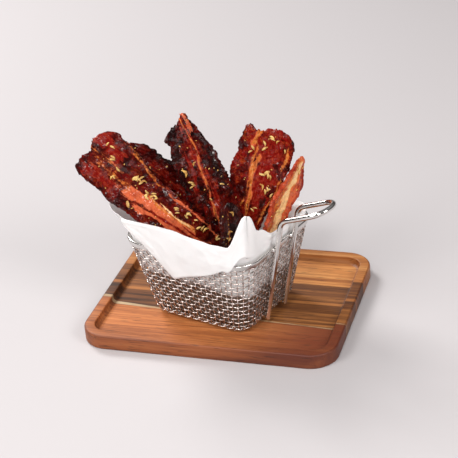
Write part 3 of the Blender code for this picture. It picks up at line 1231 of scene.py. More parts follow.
@dataclass
class WovenBasket:
    """The basket's woven wire wall and floor."""

    form: BasketForm
    wire_radius: float = 0.50 * MM
    weave_depth: float = 0.56 * MM
    row_pitch: float = 3.9 * MM
    wire_sides: int = 7
    curve_steps: int = 4
    corner_steps: int = 6
    side_steps: tuple[int, int, int, int] = (15, 12, 15, 12)
    floor_lift: float = 0.95 * MM
    hidden_top: float = 1.9 * MM
    first_row: float = 1.5 * MM
    bottom_bends: tuple[int, ...] = (30, 60, 90)
    finish: SteelFinish = DRAWN_WIRE

    def levels(self) -> list[tuple[float, float, float]]:
        """Return (z, offset, tilt) from the rim down to the floor's edge.

        The tilt is 0 on the wall and a right angle where the wire points inward.

        Returns:
            The levels, with the one that the rim hides first.
        """
        form, middle = self.form, -self.form.mesh_thickness / 2
        radius = form.bottom_round + middle
        floor = form.bottom + self.floor_lift
        wall_top = form.top - form.band_height - self.first_row
        rows = round((wall_top - floor - radius) / self.row_pitch) + 1
        levels = [(form.top - self.hidden_top, middle, 0.0)]
        levels += [(z, middle, 0.0) for z in np.linspace(wall_top, floor + radius, rows)]
        for degrees in self.bottom_bends:
            tilt = math.radians(degrees)
            inset = radius * (1 - math.cos(tilt))
            levels.append((floor + radius * (1 - math.sin(tilt)), middle - inset, tilt))
        return levels

    def tree(self, name: str, material: bpy.types.Material) -> GeometryTree:
        """Return the tree that weaves wires and gives them their thickness.

        Args:
            name: The tree's name.
            material: The wires' material.

        Returns:
            The tree.
        """
        tree = GeometryTree(
            name,
            {
                "Wire radius": ("NodeSocketFloat", self.wire_radius),
                "Weave depth": ("NodeSocketFloat", self.weave_depth),
                "Wire sides": ("NodeSocketInt", self.wire_sides),
                "Curve steps": ("NodeSocketInt", self.curve_steps),
            },
        )
        reach = Value(tree, tree.stored("side")) * Value(tree, tree.given("Weave depth"))
        inputs = {0: tree.stored("outward", "FLOAT_VECTOR"), "Scale": reach}
        offset = tree.node("ShaderNodeVectorMath", {"operation": "SCALE"}, inputs)
        inputs = {"Geometry": tree.given("Geometry"), "Offset": tree.output(offset)}
        woven = tree.node("GeometryNodeSetPosition", None, inputs)
        curve = tree.node("GeometryNodeMeshToCurve", None, {0: woven.outputs[0]})
        kind = {"spline_type": "CATMULL_ROM"}
        curve = tree.node("GeometryNodeCurveSplineType", kind, {"Curve": curve.outputs[0]})
        inputs = {0: curve.outputs[0], "Resolution": tree.given("Curve steps")}
        curve = tree.node("GeometryNodeSetSplineResolution", None, inputs)
        inputs = {"Resolution": tree.given("Wire sides"), "Radius": tree.given("Wire radius")}
        circle = tree.node("GeometryNodeCurvePrimitiveCircle", {"mode": "RADIUS"}, inputs)
        inputs = {"Curve": curve.outputs[0], "Profile Curve": circle.outputs[0], "Fill Caps": True}
        wire = tree.node("GeometryNodeCurveToMesh", None, inputs)
        tree.close(wire.outputs[0], material)
        return tree

    def out_at(self, way: Array, tilt: float) -> Array:
        """Return the direction out of the mesh on the wall or on its bottom curve."""
        return np.array((way[0] * math.cos(tilt), way[1] * math.cos(tilt), -math.sin(tilt)))

    def rings(self, stations: Stations, levels: Sequence) -> WirePaths:
        """Return the level wires that go round the basket.

        Args:
            stations: The places round the wall.
            levels: The levels down the wall.

        Returns:
            The paths of the wires.
        """
        wires = WirePaths()
        for level, (z, offset, tilt) in enumerate(levels[1:-1], 1):
            ring = self.form.placed(self.form.ring(stations, z, offset))
            out = [self.form.turned(self.out_at(way, tilt)) for way in stations.out]
            sides = [-1 if (i + level) % 2 else 1 for i in range(len(ring))]
            wires.add(ring, out, sides, True)
        return wires

    def pairs(self) -> tuple[list, list]:
        """Return which stations face each other, back to front and left to right.

        Returns:
            The pairs of stations for each of the two directions.
        """
        corner, (back, left, _, _) = self.corner_steps, self.side_steps
        half, total = corner // 2, 4 * corner + sum(self.side_steps)
        right_front = 2 * corner + back + left + corner + back
        across = [(half + k, right_front + half - k) for k in range(back + corner + 1)]
        first_left = half + back + corner + 1
        along = [(first_left + k, (half - 1 - k) % total) for k in range(left + corner - 1)]
        return across, along

    def uprights(self, stations: Stations, levels: Sequence) -> WirePaths:
        """Return the wires that go down one wall, across the floor and up the other.

        Args:
            stations: The places round the wall.
            levels: The levels down the wall.

        Returns:
            The paths of the wires.
        """
        rings = [self.form.ring(stations, z, offset) for z, offset, _ in levels]
        floor, below = rings[-1], np.array((0.0, 0.0, -1.0))
        across, along = self.pairs()
        wires = WirePaths()
        for family, pairs, others, axis in ((0, across, along, 1), (1, along, across, 0)):
            for index, (start, end) in enumerate(pairs):
                edge = floor[start][axis]
                crossings = []
                for other, (cross, _) in enumerate(others):
                    place = floor[start].copy()
                    place[axis] = floor[cross][axis]
                    if abs(place[axis]) < abs(edge) - 1 * MM:
                        side = 1 if (index + other + family) % 2 else -1
                        crossings.append((place, below, side))
                crossings.sort(key=lambda crossing: -crossing[0][axis] * math.copysign(1, edge))
                run = self._run(stations, levels, rings, start) + crossings
                run += reversed(self._run(stations, levels, rings, end))
                points, out, sides = zip(*run)
                placed = self.form.placed(np.array(points))
                wires.add(placed, self.form.turned(np.array(out)), sides, False)
        return wires

    def _run(self, stations: Stations, levels: Sequence, rings: Sequence, index: int) -> list:
        """Return (point, outward, side) down the wall at one station.

        Args:
            stations: The places round the wall.
            levels: The levels down the wall.
            rings: Each level's points.
            index: The station's number.

        Returns:
            The crossings, from the rim to the floor.
        """
        run = []
        for level, (_, _, tilt) in enumerate(levels):
            side = 1 if (index + level) % 2 else -1
            if level in (0, len(levels) - 1):
                side = 0
            run.append((rings[level][index], self.out_at(stations.out[index], tilt), side))
        return run

    def build(self) -> list[bpy.types.Object]:
        """Return the level wires and the upright wires, woven through each other.

        Returns:
            The two linked objects.
        """
        stations = self.form.stations(self.side_steps, self.corner_steps)
        levels, material = self.levels(), self.finish.material()
        pieces = []
        for name, wires in (
            ("basket_level_wires", self.rings(stations, levels)),
            ("basket_upright_wires", self.uprights(stations, levels)),
        ):
            piece = wires.piece(name)
            pieces.append(self.tree(name, material).bake(piece))
        return pieces

    def dress(self, pieces: Sequence[bpy.types.Object]) -> None:
        """Settle both sets of wires in place of the plain wall."""
        for piece in pieces:
            settle(piece, SlotName.MESH_STEEL, "basket_mesh")


@dataclass
class BasketRim:
    """The steel band folded over the top of the mesh."""

    form: BasketForm
    sheet: float = 0.6 * MM
    wobble: float = 0.10 * MM
    wobbles: int = 16
    fold_steps: int = 12
    side_steps: tuple[int, int, int, int] = (14, 12, 14, 12)
    corner_steps: int = 18
    finish: SteelFinish = PRESSED_STEEL

    def section(self) -> list[tuple[float, float]]:
        """Return (offset, z) round the folded band's section.

        Returns:
            The points, in order.
        """
        form = self.form
        radius = (form.band_out + form.band_in) / 2
        middle = form.band_out - radius
        fold = form.top - radius
        low = form.top - form.band_height
        line = [(form.band_out, low)] + arc((middle, fold), radius, 0, 180, self.fold_steps)
        line += [(-form.band_in, low), (-form.band_in + self.sheet, low)]
        line += arc((middle, fold), radius - self.sheet, 180, 0, self.fold_steps)
        return line + [(form.band_out - self.sheet, low)]

    def build(self) -> bpy.types.Object:
        """Return the band.

        Returns:
            The linked object.
        """
        stations = self.form.stations(self.side_steps, self.corner_steps)
        round_share = np.arange(len(stations.out)) / len(stations.out)
        sway = Grain(41).at(round_share * self.wobbles) * self.wobble
        section = self.section()
        rings = [self.form.ring(stations, z, offset + sway) for offset, z in section]
        columns = len(stations.out)
        faces = ring_faces(len(rings), columns)
        last = (len(rings) - 1) * columns
        for i in range(columns):
            j = (i + 1) % columns
            faces.append((last + i, last + j, j, i))
        piece = new_piece("basket_band", self.form.placed(np.concatenate(rings)), faces)
        piece.data.set_sharp_from_angle(angle=math.radians(40))
        return piece

    def dress(self, piece: bpy.types.Object) -> None:
        """Give the band its steel."""
        piece.data.materials.append(self.finish.material())
        settle(piece, SlotName.RIM_STEEL, "basket_rim")


@dataclass
class BasketHandle:
    """One bent round wire: two posts beside the wall and a rising loop, welded on."""

    form: BasketForm
    wire: float = 4 * MM
    half_width: float = 12.5 * MM
    gap: float = 0.3 * MM
    foot: float = 9.6 * MM
    bend_top: float = 98 * MM
    bend_radius: float = 10 * MM
    reach: float = 101 * MM
    rise: float = math.radians(21.5)
    spacing: float = 0.9 * MM
    wire_sides: int = 18
    end_round: float = 1.2 * MM
    bead: tuple[float, float, float] = (0.9 * MM, 1.3 * MM, 1.9 * MM)
    bead_steps: tuple[int, int] = (9, 14)
    bead_tip: float = 0.12
    bead_apart: float = 1.5 * MM
    finish: SteelFinish = POLISHED_STEEL

    def wall_at(self, z: float) -> float:
        """Return how far the wire's middle stands from the axis beside the wall.

        Args:
            z: The height.

        Returns:
            The distance along the handle's axis.
        """
        form = self.form
        share = (z - form.bottom) / (form.top - form.bottom)
        wall = form.base_half[0] + (form.rim_half[0] - form.base_half[0]) * share
        return wall + form.band_out + self.gap + self.wire / 2

    def side_route(self) -> list[Array]:
        """Return the (u, z) points of one side, from its foot to the loop.

        Returns:
            The points, in order.
        """
        foot = np.array((self.wall_at(self.foot), self.foot))
        corner = np.array((self.wall_at(self.bend_top), self.bend_top))
        post = unit(corner - foot)
        turn = math.atan2(post[1], post[0]) - self.rise
        outward = np.array((post[1], -post[0]))
        start = corner - post * self.bend_radius * math.tan(turn / 2)
        centre = start + outward * self.bend_radius
        bend = [
            centre + (post * math.sin(angle) - outward * math.cos(angle)) * self.bend_radius
            for angle in np.linspace(0, turn, 16)
        ]
        return [foot] + bend

    def route(self) -> Array:
        """Return the wire's middle line, in even short steps.

        Returns:
            The points, in the basket's own axes.
        """
        side = self.side_route()
        run = np.array((math.cos(self.rise), math.sin(self.rise)))
        length = (self.reach - side[-1][0]) / run[0] - self.half_width
        line = [(u, -self.half_width, z) for u, z in side]
        for angle in np.linspace(0, math.pi, 30):
            u, z = side[-1] + run * (length + self.half_width * math.sin(angle))
            line.append((u, -self.half_width * math.cos(angle), z))
        line += [(u, self.half_width, z) for u, z in reversed(side)]
        line = np.array(line)
        place = travelled(line)
        even = np.linspace(0, place[-1], int(place[-1] / self.spacing))
        return np.column_stack([np.interp(even, place, line[:, axis]) for axis in range(3)])

    def weld(self, v: float, seed: int) -> tuple[Array, list]:
        """Return a small weld bead between the rim and a post.

        Args:
            v: How far it is from the middle of the handle.
            seed: The seed of its uneven surface.

        Returns:
            The points and the faces.
        """
        z = self.form.top - self.form.band_height / 2
        middle = np.array((self.wall_at(z) - self.wire / 2 + 0.1 * MM, v, z))
        grain, (rows, columns) = Grain(seed), self.bead_steps
        points = []
        for down in np.linspace(self.bead_tip, math.pi - self.bead_tip, rows):
            for turn in np.linspace(0, 2 * math.pi, columns, endpoint=False):
                swell = 1 + 0.14 * float(grain.at(down * 2, turn * 2))
                way = np.array((math.sin(down) * math.cos(turn), math.sin(down) * math.sin(turn), 0))
                way[2] = math.cos(down)
                points.append(middle + np.array(self.bead) * way * swell)
        return np.array(points), capped_faces(rows, columns)

    def build(self) -> bpy.types.Object:
        """Return the handle with its weld beads.

        Returns:
            The linked object.
        """
        parts = [tube(self.route(), self.wire / 2, self.wire_sides, self.end_round)]
        for index, v in enumerate((-1, 1)):
            for beside in (-1, 1):
                place = v * self.half_width + beside * self.bead_apart
                parts.append(self.weld(place, 50 + 2 * index + beside))
        points, faces, count = [], [], 0
        for part_points, part_faces in parts:
            points.append(part_points)
            faces += [tuple(corner + count for corner in face) for face in part_faces]
            count += len(part_points)
        return new_piece("handle_wire", self.form.placed(np.concatenate(points)), faces)

    def dress(self, piece: bpy.types.Object) -> None:
        """Give the handle its polish."""
        piece.data.materials.append(self.finish.material())
        settle(piece, SlotName.HANDLE_STEEL, "basket_handle")


# ----------------------------------------------------------------------- paper


def keyed(keys: Sequence[tuple[float, float]], angles: Array) -> Array:
    """Return the smooth values between the keys either side of angles in degrees.

    Args:
        keys: Angles in degrees, each with its value, in rising order.
        angles: The angles to read them at.

    Returns:
        One value for each angle.
    """
    ends, values = (np.array(part, float) for part in zip(*keys))
    spots = (ends - ends[0]) % 360
    angles = (angles - ends[0]) % 360
    before = np.searchsorted(spots, angles, side="right") - 1
    after = (before + 1) % len(spots)
    share = smooth((angles - spots[before]) / ((spots[after] - spots[before]) % 360))
    return values[before] + (values[after] - values[before]) * share


@dataclass(frozen=True)
class Crease:
    """A fold line that stands out of the paper, steepest on the line itself."""

    angle_low: float
    angle_high: float
    width: float
    height: float

    def lift(self, angles: Array, rise: Array | float) -> Array:
        """Return how far the paper stands out at angles and a share of its height.

        Args:
            angles: The angles round the basket, in degrees.
            rise: The share of the height.

        Returns:
            One distance for each angle.
        """
        middle = self.angle_low + (self.angle_high - self.angle_low) * rise
        near = np.clip(1 - np.abs(angles - middle) / self.width, 0, 1)
        return self.height * near**1.15 * np.minimum(1.0, rise * 6) * (1 - 0.5 * rise)


@dataclass
class PaperLiner:
    """The sheet of stiff paper that lines the basket and flaps over its front.

    The keys of belly, stand and lean are (angle round the basket in degrees, mm), those
    of belly_shares are (z in mm, share) and those of flap are (u in mm, its length there
    in mm). The travels say how far each part of the sheet runs through the pattern of
    its crumples.
    """

    form: BasketForm
    floor: float = 9.1 * MM
    inset: float = 2.6 * MM
    on_rim: float = 3.1 * MM
    below_rim: float = 8.4 * MM
    fold_radius: float = 1.6 * MM
    flap_out: float = 1.8 * MM
    full_turn: float = 4 * MM
    lean_curve: float = 1.5
    belly_shares: tuple = ((14, 0.6), (36, 1), (52, 0))
    belly: tuple = (
        (-170, 5), (-135, 8), (-90, 8), (-60, 7), (-45, 2), (-25, 0), (60, 0), (110, 3), (150, 4)
    )
    thickness: float = 0.22 * MM
    side_steps: tuple[int, int, int, int] = (24, 20, 44, 20)
    corner_steps: int = 14
    station_step: float = 2.2 * MM
    floor_rings: tuple = (0.06, 0.3, 0.55, 0.8)
    bend_rows: int = 7
    wall_rows: int = 15
    rim_rows: int = 3
    stand_rows: int = 24
    fold_rows: int = 7
    flap_rows: int = 22
    stand_travel: float = 30 * MM
    fold_travel: float = 4 * MM
    flap_travel: float = 40 * MM
    edge_wobble: float = 0.25 * MM
    crumple: float = 0.55 * MM
    crumple_size: float = 13 * MM
    merge: float = 0.04 * MM
    stand: tuple = (
        (-168, 16), (-155, 25), (-138, 21), (-120, 20), (-100, 19), (-62, 14), (-51, 15),
        (-40, 43.5), (-37.5, 43.5), (-27, 23.5), (-10, 11), (6, 10), (25, 6), (60, 3), (90, 9),
        (120, 5), (150, 9),
    )
    lean: tuple = (
        (-175, -4), (-155, -16), (-135, -3), (-100, 0), (-60, 0), (-38, 1), (-20, 1),
        (0, 0), (30, 0), (55, -4), (90, -4), (120, 0),
    )
    flap: tuple = (
        (-46, 0), (-42, 6), (-11.5, 45), (-8, 43.5), (38, 20), (46, 21.5), (49.2, 25.5),
        (51.6, 31), (53.9, 36), (54.5, 0),
    )
    creases: tuple[Crease, ...] = (
        Crease(-36.5, -44, 13, 3.6 * MM),
        Crease(-150, -157, 9, 1.2 * MM),
        Crease(8, 4, 8, 0.8 * MM),
    )
    finish: PaperFinish = PaperFinish()

    def rows(self, stations: Stations) -> list[Array]:
        """Return the sheet's rings of points, from the floor's middle to its edge.

        Args:
            stations: The places round the wall.

        Returns:
            The rings, in the basket's own axes.
        """
        form = self.form
        rim = form.ring(stations, form.top, 0)
        belly = keyed(self.belly, np.degrees(np.arctan2(rim[:, 1], rim[:, 0]))) * MM
        grain, around = Grain(64), np.arange(len(rim)) / 6.0
        radius = form.bottom_round - self.inset
        wall_top = form.top - self.below_rim
        profile = [(self.floor, -form.bottom_round)]
        for share in shares(self.bend_rows):
            angle = math.pi / 2 * share
            z = self.floor + radius * (1 - math.cos(angle))
            profile.append((z, -self.inset - radius * (1 - math.sin(angle))))
        heights = np.linspace(profile[-1][0], wall_top, self.wall_rows + 1)[1:]
        profile += [(z, -self.inset) for z in heights]
        for share in shares(self.rim_rows):
            offset = -self.inset - (self.on_rim - self.inset) * share
            profile.append((wall_top + self.below_rim * share, offset))
        rings = []
        for z, offset in profile:
            share = np.interp(z / MM, *zip(*self.belly_shares))
            loose = 0.08 * grain.layered(around, z / MM / 16.0, 2)
            rings.append(form.ring(stations, z, offset - belly * share * (0.96 + loose)))
        floor = [rings[0] * (share, share, 1) for share in self.floor_rings]
        return floor + rings + self.upper_rows(stations)

    def upper_rows(self, stations: Stations) -> list[Array]:
        """Return the rings above the rim: standing, turning over and hanging down.

        Args:
            stations: The places round the wall.

        Returns:
            The rings, in the basket's own axes.
        """
        form, rim = self.form, self.form.ring(stations, self.form.top, 0)
        angles = np.degrees(np.arctan2(rim[:, 1], rim[:, 0]))
        stand = keyed(self.stand, angles) * MM
        lean = keyed(self.lean, angles) * MM
        spots, lengths = zip(*self.flap)
        drop = np.interp(rim[:, 0] / MM, spots, lengths, 0, 0) * MM
        drop = np.where(rim[:, 1] < 0, drop, 0.0)
        edge = Grain(61).layered(np.arange(len(rim)) / 5.0, 0.0, 2) * self.edge_wobble
        around = np.arange(len(rim)) * self.station_step
        grain, top = Grain(62), form.top + stand
        rings = []

        def add(z: Array, offset: Array, height: Array | float, rise: Array | float) -> None:
            """Add a ring, crumpled more the further it is from the rim.

            Args:
                z: The ring's heights.
                offset: How far out it is.
                height: How far up the sheet it is, for the crumples.
                rise: The share of the creases and crumples.
            """
            places = (around / self.crumple_size, height / self.crumple_size)
            loose = self.crumple * np.minimum(1.0, rise * 2)
            for crease in self.creases:
                offset = offset + crease.lift(angles, rise)
            rings.append(form.ring(stations, z, offset + grain.layered(*places) * loose))

        for rise in shares(self.stand_rows):
            z = form.top + (stand + edge) * rise
            add(z, -self.on_rim - lean * rise**self.lean_curve, self.stand_travel * rise, rise)
        start, turned = -self.on_rim - lean, np.clip(drop / self.full_turn, 0, 1)
        for share in shares(self.fold_rows):
            turn = math.pi * share * turned
            lift = self.fold_radius * turned * np.sin(turn)
            over = start + self.fold_radius * turned * (1 - np.cos(turn))
            height = self.stand_travel + self.fold_travel * share * turned
            add(top + edge + lift, over, height, 1.0)
        folded = start + 2 * self.fold_radius * turned
        for share in shares(self.flap_rows):
            down = (drop + edge * turned) * share
            spread = np.clip(down / stand, 0, 1)
            offset = folded + (self.flap_out - folded) * spread * turned
            height = self.stand_travel + (self.fold_travel + self.flap_travel * share) * turned
            add(top + edge - down, offset, height, 1 - 0.6 * share * turned)
        return rings

    def build(self) -> bpy.types.Object:
        """Return the sheet with its thickness.

        Returns:
            The linked object.
        """
        stations = self.form.stations(self.side_steps, self.corner_steps)
        rings = self.rows(stations)
        columns = len(stations.out)
        faces = ring_faces(len(rings), columns)
        faces.append(tuple(reversed(range(columns))))
        piece = new_piece("paper_sheet", self.form.placed(np.concatenate(rings)), faces)
        with edited(piece.data) as shape:
            bmesh.ops.remove_doubles(shape, verts=shape.verts, dist=self.merge)
            bmesh.ops.recalc_face_normals(shape, faces=shape.faces)
        wall = piece.modifiers.new("wall", "SOLIDIFY")
        wall.thickness = self.thickness
        wall.offset = 0.0
        plain(piece)
        piece.data.shade_smooth()
        self.mark_inside(piece.data)
        return piece

    def mark_inside(self, mesh: bpy.types.Mesh) -> None:
        """Mark the points of the sheet's inner face, the side that the food touches.

        Args:
            mesh: The sheet's mesh.
        """
        centre = Vector((*self.form.placed(np.zeros((1, 3)))[0][:2], self.form.top))
        inner = [vertex.normal.dot(centre - vertex.co) > 0 for vertex in mesh.vertices]
        hold(mesh, "inner", inner)

    def dress(self, piece: bpy.types.Object) -> None:
        """Give the sheet its paper."""
        piece.data.materials.append(self.finish.material())
        settle(piece, SlotName.PAPER, "paper_liner")


# ----------------------------------------------------------------------- bacon


def facing_vector(azimuth: Array | float, tilt: float) -> Array:
    """Return unit vectors at azimuths in degrees from -Y towards +X, tilted up.

    Args:
        azimuth: The azimuths.
        tilt: How far up the vectors point, in degrees.

    Returns:
        One row for each azimuth.
    """
    turn, lift = np.radians(azimuth), math.radians(tilt)
    flat = math.cos(lift)
    up = np.full(np.shape(turn), math.sin(lift))
    return np.stack((np.sin(turn) * flat, -np.cos(turn) * flat, up), axis=-1)


@dataclass(frozen=True)
class Outline:
    """A strip's ragged outline: how far its tip and both of its edges reach.

    The tip's keys are (share across, share of the length), and an edge's keys are
    (share along, share of the half width).
    """

    tip: tuple[tuple[float, float], ...] = ((-1, 0.95), (-0.8, 0.99), (0.8, 0.99), (1, 0.95))
    low: tuple[tuple[float, float], ...] = ((0, 1), (1, 1))
    high: tuple[tuple[float, float], ...] = ((0, 1), (1, 1))

    def reach(self, across: Array) -> Array:
        """Return how far the tip reaches."""
        return np.interp(across, *zip(*self.tip))

    def half(self, along: Array, across: Array) -> Array:
        """Return how far the edge on that side reaches.

        Args:
            along: The share along the strip.
            across: The share across it, from -1 to 1.

        Returns:
            Shares of the half width.
        """
        low = np.interp(along, *zip(*self.low))
        high = np.interp(along, *zip(*self.high))
        return np.where(across < 0, low, high)


@dataclass(frozen=True)
class Streak:
    """A band of fat along a strip, or of redder lean.

    Its ends are (share along, share across), its width is a share of the half width and
    its rise is in mm.
    """

    tone: Tone
    start: tuple[float, float]
    end: tuple[float, float]
    width: float
    strength: float = 1.0
    rise: float = 0.0


@dataclass(frozen=True)
class Burn:
    """A charred patch: its middle and its size, both as (share along, share across)."""

    at: tuple[float, float]
    size: tuple[float, float]
    strength: float = 1.0


@dataclass
class BaconStrip:
    """One strip: a wavy, cupped ribbon with ragged edges, fat streaks and char.

    Sizes without MM are in mm, facings and the tilt are in degrees, and places are shares
    of the length and of the half width. A tear is (depth, size, row of the noise).
    """

    name: str
    foot: tuple[float, float, float]
    tip: tuple[float, float, float]
    width: float
    facing_foot: float
    facing_tip: float
    tilt: float
    bow: float
    sweep: float
    wave: float
    wave_count: float
    wave_phase: float
    cup: float
    taper: float
    outline: Outline
    finish: BaconFinish
    streaks: tuple[Streak, ...] = ()
    burns: tuple[Burn, ...] = ()
    seed: int = 0
    wrinkle: float = 0.42
    row_step: float = 0.62 * MM
    columns: int = 72
    half_thickness: float = 1.3 * MM
    edge_round: float = 1.5 * MM
    edge_tears: tuple = ((0.75, 8.5, 0.0), (0.6, 2.9, 0.0), (0.75, 1.4, 3.0))
    tip_tears: tuple = ((0.8, 6.0, 31.0), (0.6, 2.3, 37.0), (0.75, 1.3, 41.0))
    end_start: float = 0.86
    end_length: float = 0.2
    end_narrowing: float = 0.25
    sway: float = 0.035
    sways: float = 9.0
    edge_ruffle: float = 1.1
    broad_ruffle: float = 0.8
    fat_fade: float = 9.0
    rim_start: float = 0.86
    rim_char: float = 0.42
    tip_char: float = 0.16
    cloud_char: float = 0.20
    fine_wrinkle: float = 0.34
    bead: float = 0.20
    ridge: float = 0.35
    blister: float = 1.1
    front: Array = field(default=None, repr=False)
    outward: Array = field(default=None, repr=False)
    forward: Array = field(default=None, repr=False)

    def spine(self, along: Array) -> Array:
        """Return the middle of the strip at shares of its length.

        Args:
            along: The shares of its length.

        Returns:
            One point for each share.
        """
        foot, tip = np.array(self.foot) * MM, np.array(self.tip) * MM
        facing = facing_vector(self.facing_foot, self.tilt)
        side = unit(np.cross(unit(tip - foot), facing))
        arch = (4 * along * (1 - along) * MM)[..., None]
        line = foot + (tip - foot) * along[..., None]
        return line + facing * (self.bow * arch) + side * (self.sweep * arch)

    def ragged(self, along: Array, across: Array) -> tuple[Array, Array]:
        """Return how far edges and tip are torn off their even outline, in mm.

        Args:
            along: The share along the strip.
            across: The share across it, from -1 to 1.

        Returns:
            The sums of the tears, each of which has a depth, a size and a row of noise.
        """
        grain, side = Grain(self.seed + 1), np.sign(across) * 9.0
        reach = along * (self.length / MM)
        edge = sum(tear * grain.at(reach / size, side + row) for tear, size, row in self.edge_tears)
        reach = across * self.width / 2
        tip = sum(tear * grain.at(reach / size, row) for tear, size, row in self.tip_tears)
        return edge, tip

    @property
    def length(self) -> float:
        """The strip's length along its spine."""
        line = self.spine(np.linspace(0, 1, 80))
        return float(np.linalg.norm(np.diff(line, axis=0), axis=1).sum())

    def middle(self, along: Array, across: Array) -> Array:
        """Return points of the strip's middle surface.

        Args:
            along: The share along the strip.
            across: The share across it, from -1 to 1.

        Returns:
            One point for each pair of shares.
        """
        edge, tip = self.ragged(along, across)
        share = along * self.outline.reach(across) + tip * MM / self.length * along**10
        inner, across = across, across * self.outline.half(share, across)
        centre = self.spine(share)
        forward = unit(self.spine(share + 0.01) - centre)
        azimuth = self.facing_foot + (self.facing_tip - self.facing_foot) * share
        facing = facing_vector(azimuth, self.tilt)
        face = unit(facing - forward * np.sum(facing * forward, axis=-1, keepdims=True))
        side = np.cross(forward, face)
        past_end = np.maximum(0.0, (share - self.end_start) / self.end_length)
        end = 1.0 - self.end_narrowing * past_end**2
        half = self.width / 2 * MM * end * (1.0 - self.taper * (1.0 - share))
        sway = np.sin(self.sways * (share + self.wave_phase) + 2.0 * across)
        half = half * (1.0 + self.sway * sway)
        turn = 2 * math.pi * (self.wave_count * share + self.wave_phase)
        lift = self.wave * np.sin(turn + 0.9 * across) + self.cup * (across**2 - 0.33)
        lift = lift + self.ruffle(share, inner)
        out = across * half + np.sign(inner) * inner**6 * edge * MM
        return centre + side * out[..., None] + face * (lift * MM)[..., None]

    def ruffle(self, along: Array, across: Array) -> Array:
        """Return the uneven waves along the edges and over the face, in mm.

        Args:
            along: The share along the strip.
            across: The share across it, from -1 to 1.

        Returns:
            One height for each pair of shares.
        """
        grain, length = Grain(self.seed + 2), self.length / MM
        edges = np.abs(across) ** 3 * grain.at(along * length / 9.0, np.sign(across) * 5.0)
        broad = grain.at(along * length / 15.0 + across * 0.6, across * 1.6 + 20.0)
        return self.edge_ruffle * edges + self.broad_ruffle * broad

    def paint(self, along: Array, across: Array) -> tuple[Array, Array, Array, Array]:
        """Return the fat, its tone, the char and the rise of the fat in mm.

        Args:
            along: The share along the strip.
            across: The share across it, from -1 to 1.

        Returns:
            The four, for each pair of shares.
        """
        grain, length = Grain(self.seed + 3), self.length / MM
        reach = across * self.width / 2
        fat, tone, rise = (np.zeros(along.shape) for _ in range(3))
        torn = grain.layered(along * length / 6.5 + 70, reach / 2.2, 2)
        for index, streak in enumerate(self.streaks):
            (start, side), (end, far_side) = streak.start, streak.end
            share = (along - start) / (end - start)
            middle = side + (far_side - side) * np.clip(share, 0, 1)
            middle = middle + 0.10 * grain.layered(along * length / 13.0, index * 3.0, 2)
            width = streak.width * (1 + 0.45 * grain.at(along * length / 6.0, index * 3.0 + 40))
            near = smooth(1.2 - 0.75 * np.abs(across - middle) / width)
            fade = self.fat_fade / length
            near = near * smooth((along - start) / fade + 0.5) * smooth((end - along) / fade + 0.5)
            near = np.clip(near * streak.strength * (1 + 0.35 * torn), 0, 1)
            fat = np.maximum(fat, near)
            tone = tone + (streak.tone.value - tone) * smooth(near * 1.6)
            rise = np.maximum(rise, near * streak.rise)
        rim = smooth((np.abs(across) - self.rim_start) / 0.16)
        rim = rim * (0.6 + 0.5 * grain.at(along * length / 8.0, np.sign(across) * 9 + 20))
        char = self.rim_char * rim + self.tip_char * smooth((along - 0.95) / 0.05)
        clouds = grain.layered(along * length / 12.0, reach / 7.0 + 50, 3)
        char = char + self.cloud_char * clouds
        for burn in self.burns:
            far = ((along - burn.at[0]) / burn.size[0]) ** 2
            far = far + ((across - burn.at[1]) / burn.size[1]) ** 2
            char = char + burn.strength * np.exp(-far)
        return fat, tone, np.clip(char, 0, 1), rise

    def relief(self, along: Array, across: Array, seed: int) -> Array:
        """Return the wrinkles and blisters of one face, in mm.

        Args:
            along: The share along the strip.
            across: The share across it, from -1 to 1.
            seed: The face's own part of the seed.

        Returns:
            One height for each pair of shares.
        """
        grain = Grain(self.seed + seed)
        length, reach = along * self.length / MM, across * self.width / 2
        folds = grain.at(length / 5.2, reach / 3.4)
        fine = grain.at(length / 2.3, reach / 1.7 + 30)
        beads = grain.at(length / 1.15, reach / 0.95 + 60)
        ridge = 1 - 2 * np.abs(grain.at(length / 8.0 + reach / 20.0, reach / 2.6 + 90))
        blister = np.clip(grain.at(length / 3.6, reach / 3.0 + 120) - 0.35, 0, 1)
        total = self.wrinkle * folds + self.fine_wrinkle * fine + self.bead * beads
        return total + self.ridge * ridge + self.blister * blister

    def grid(self) -> tuple[Array, Array]:
        """Return the shares along and across at every crossing of the face's grid.

        Returns:
            Both shares, row by row.
        """
        rows = int(self.length / self.row_step)
        steps = np.linspace(-1, 1, self.columns + 1)
        across = 0.6 * steps + 0.4 * np.sin(steps * math.pi / 2)
        return np.meshgrid(np.linspace(0, 1, rows + 1), across, indexing="ij")

    def build(self) -> bpy.types.Object:
        """Return the strip's piece, and keep its front for what lies on it.

        Returns:
            The linked object.
        """
        along, across = self.grid()
        middle = self.middle(along, across)
        self.forward = unit(np.gradient(middle, axis=0))
        self.outward = unit(np.cross(np.gradient(middle, axis=1), self.forward))
        fat, tone, char, rise = self.paint(along, across)
        inset = np.minimum((1 - np.abs(across)) * self.width / 2 * MM, along * self.length)
        inset = np.minimum(inset, (1 - along) * self.length * 0.9) / self.edge_round
        inset = np.clip(inset, 0, 1)
        full = np.sqrt(np.clip(1 - (1 - inset) ** 2, 0, 1))
        body = self.half_thickness * (1 - 0.25 * np.clip(char, 0, 1))
        front = (body + (self.relief(along, across, 4) + rise) * MM) * full
        back = (body + self.relief(along, across, 5) * MM) * full
        self.front = middle + self.outward * front[..., None]
        rear = middle - self.outward * back[..., None]
        return self.skin(along, across, rear, (fat, tone, char))

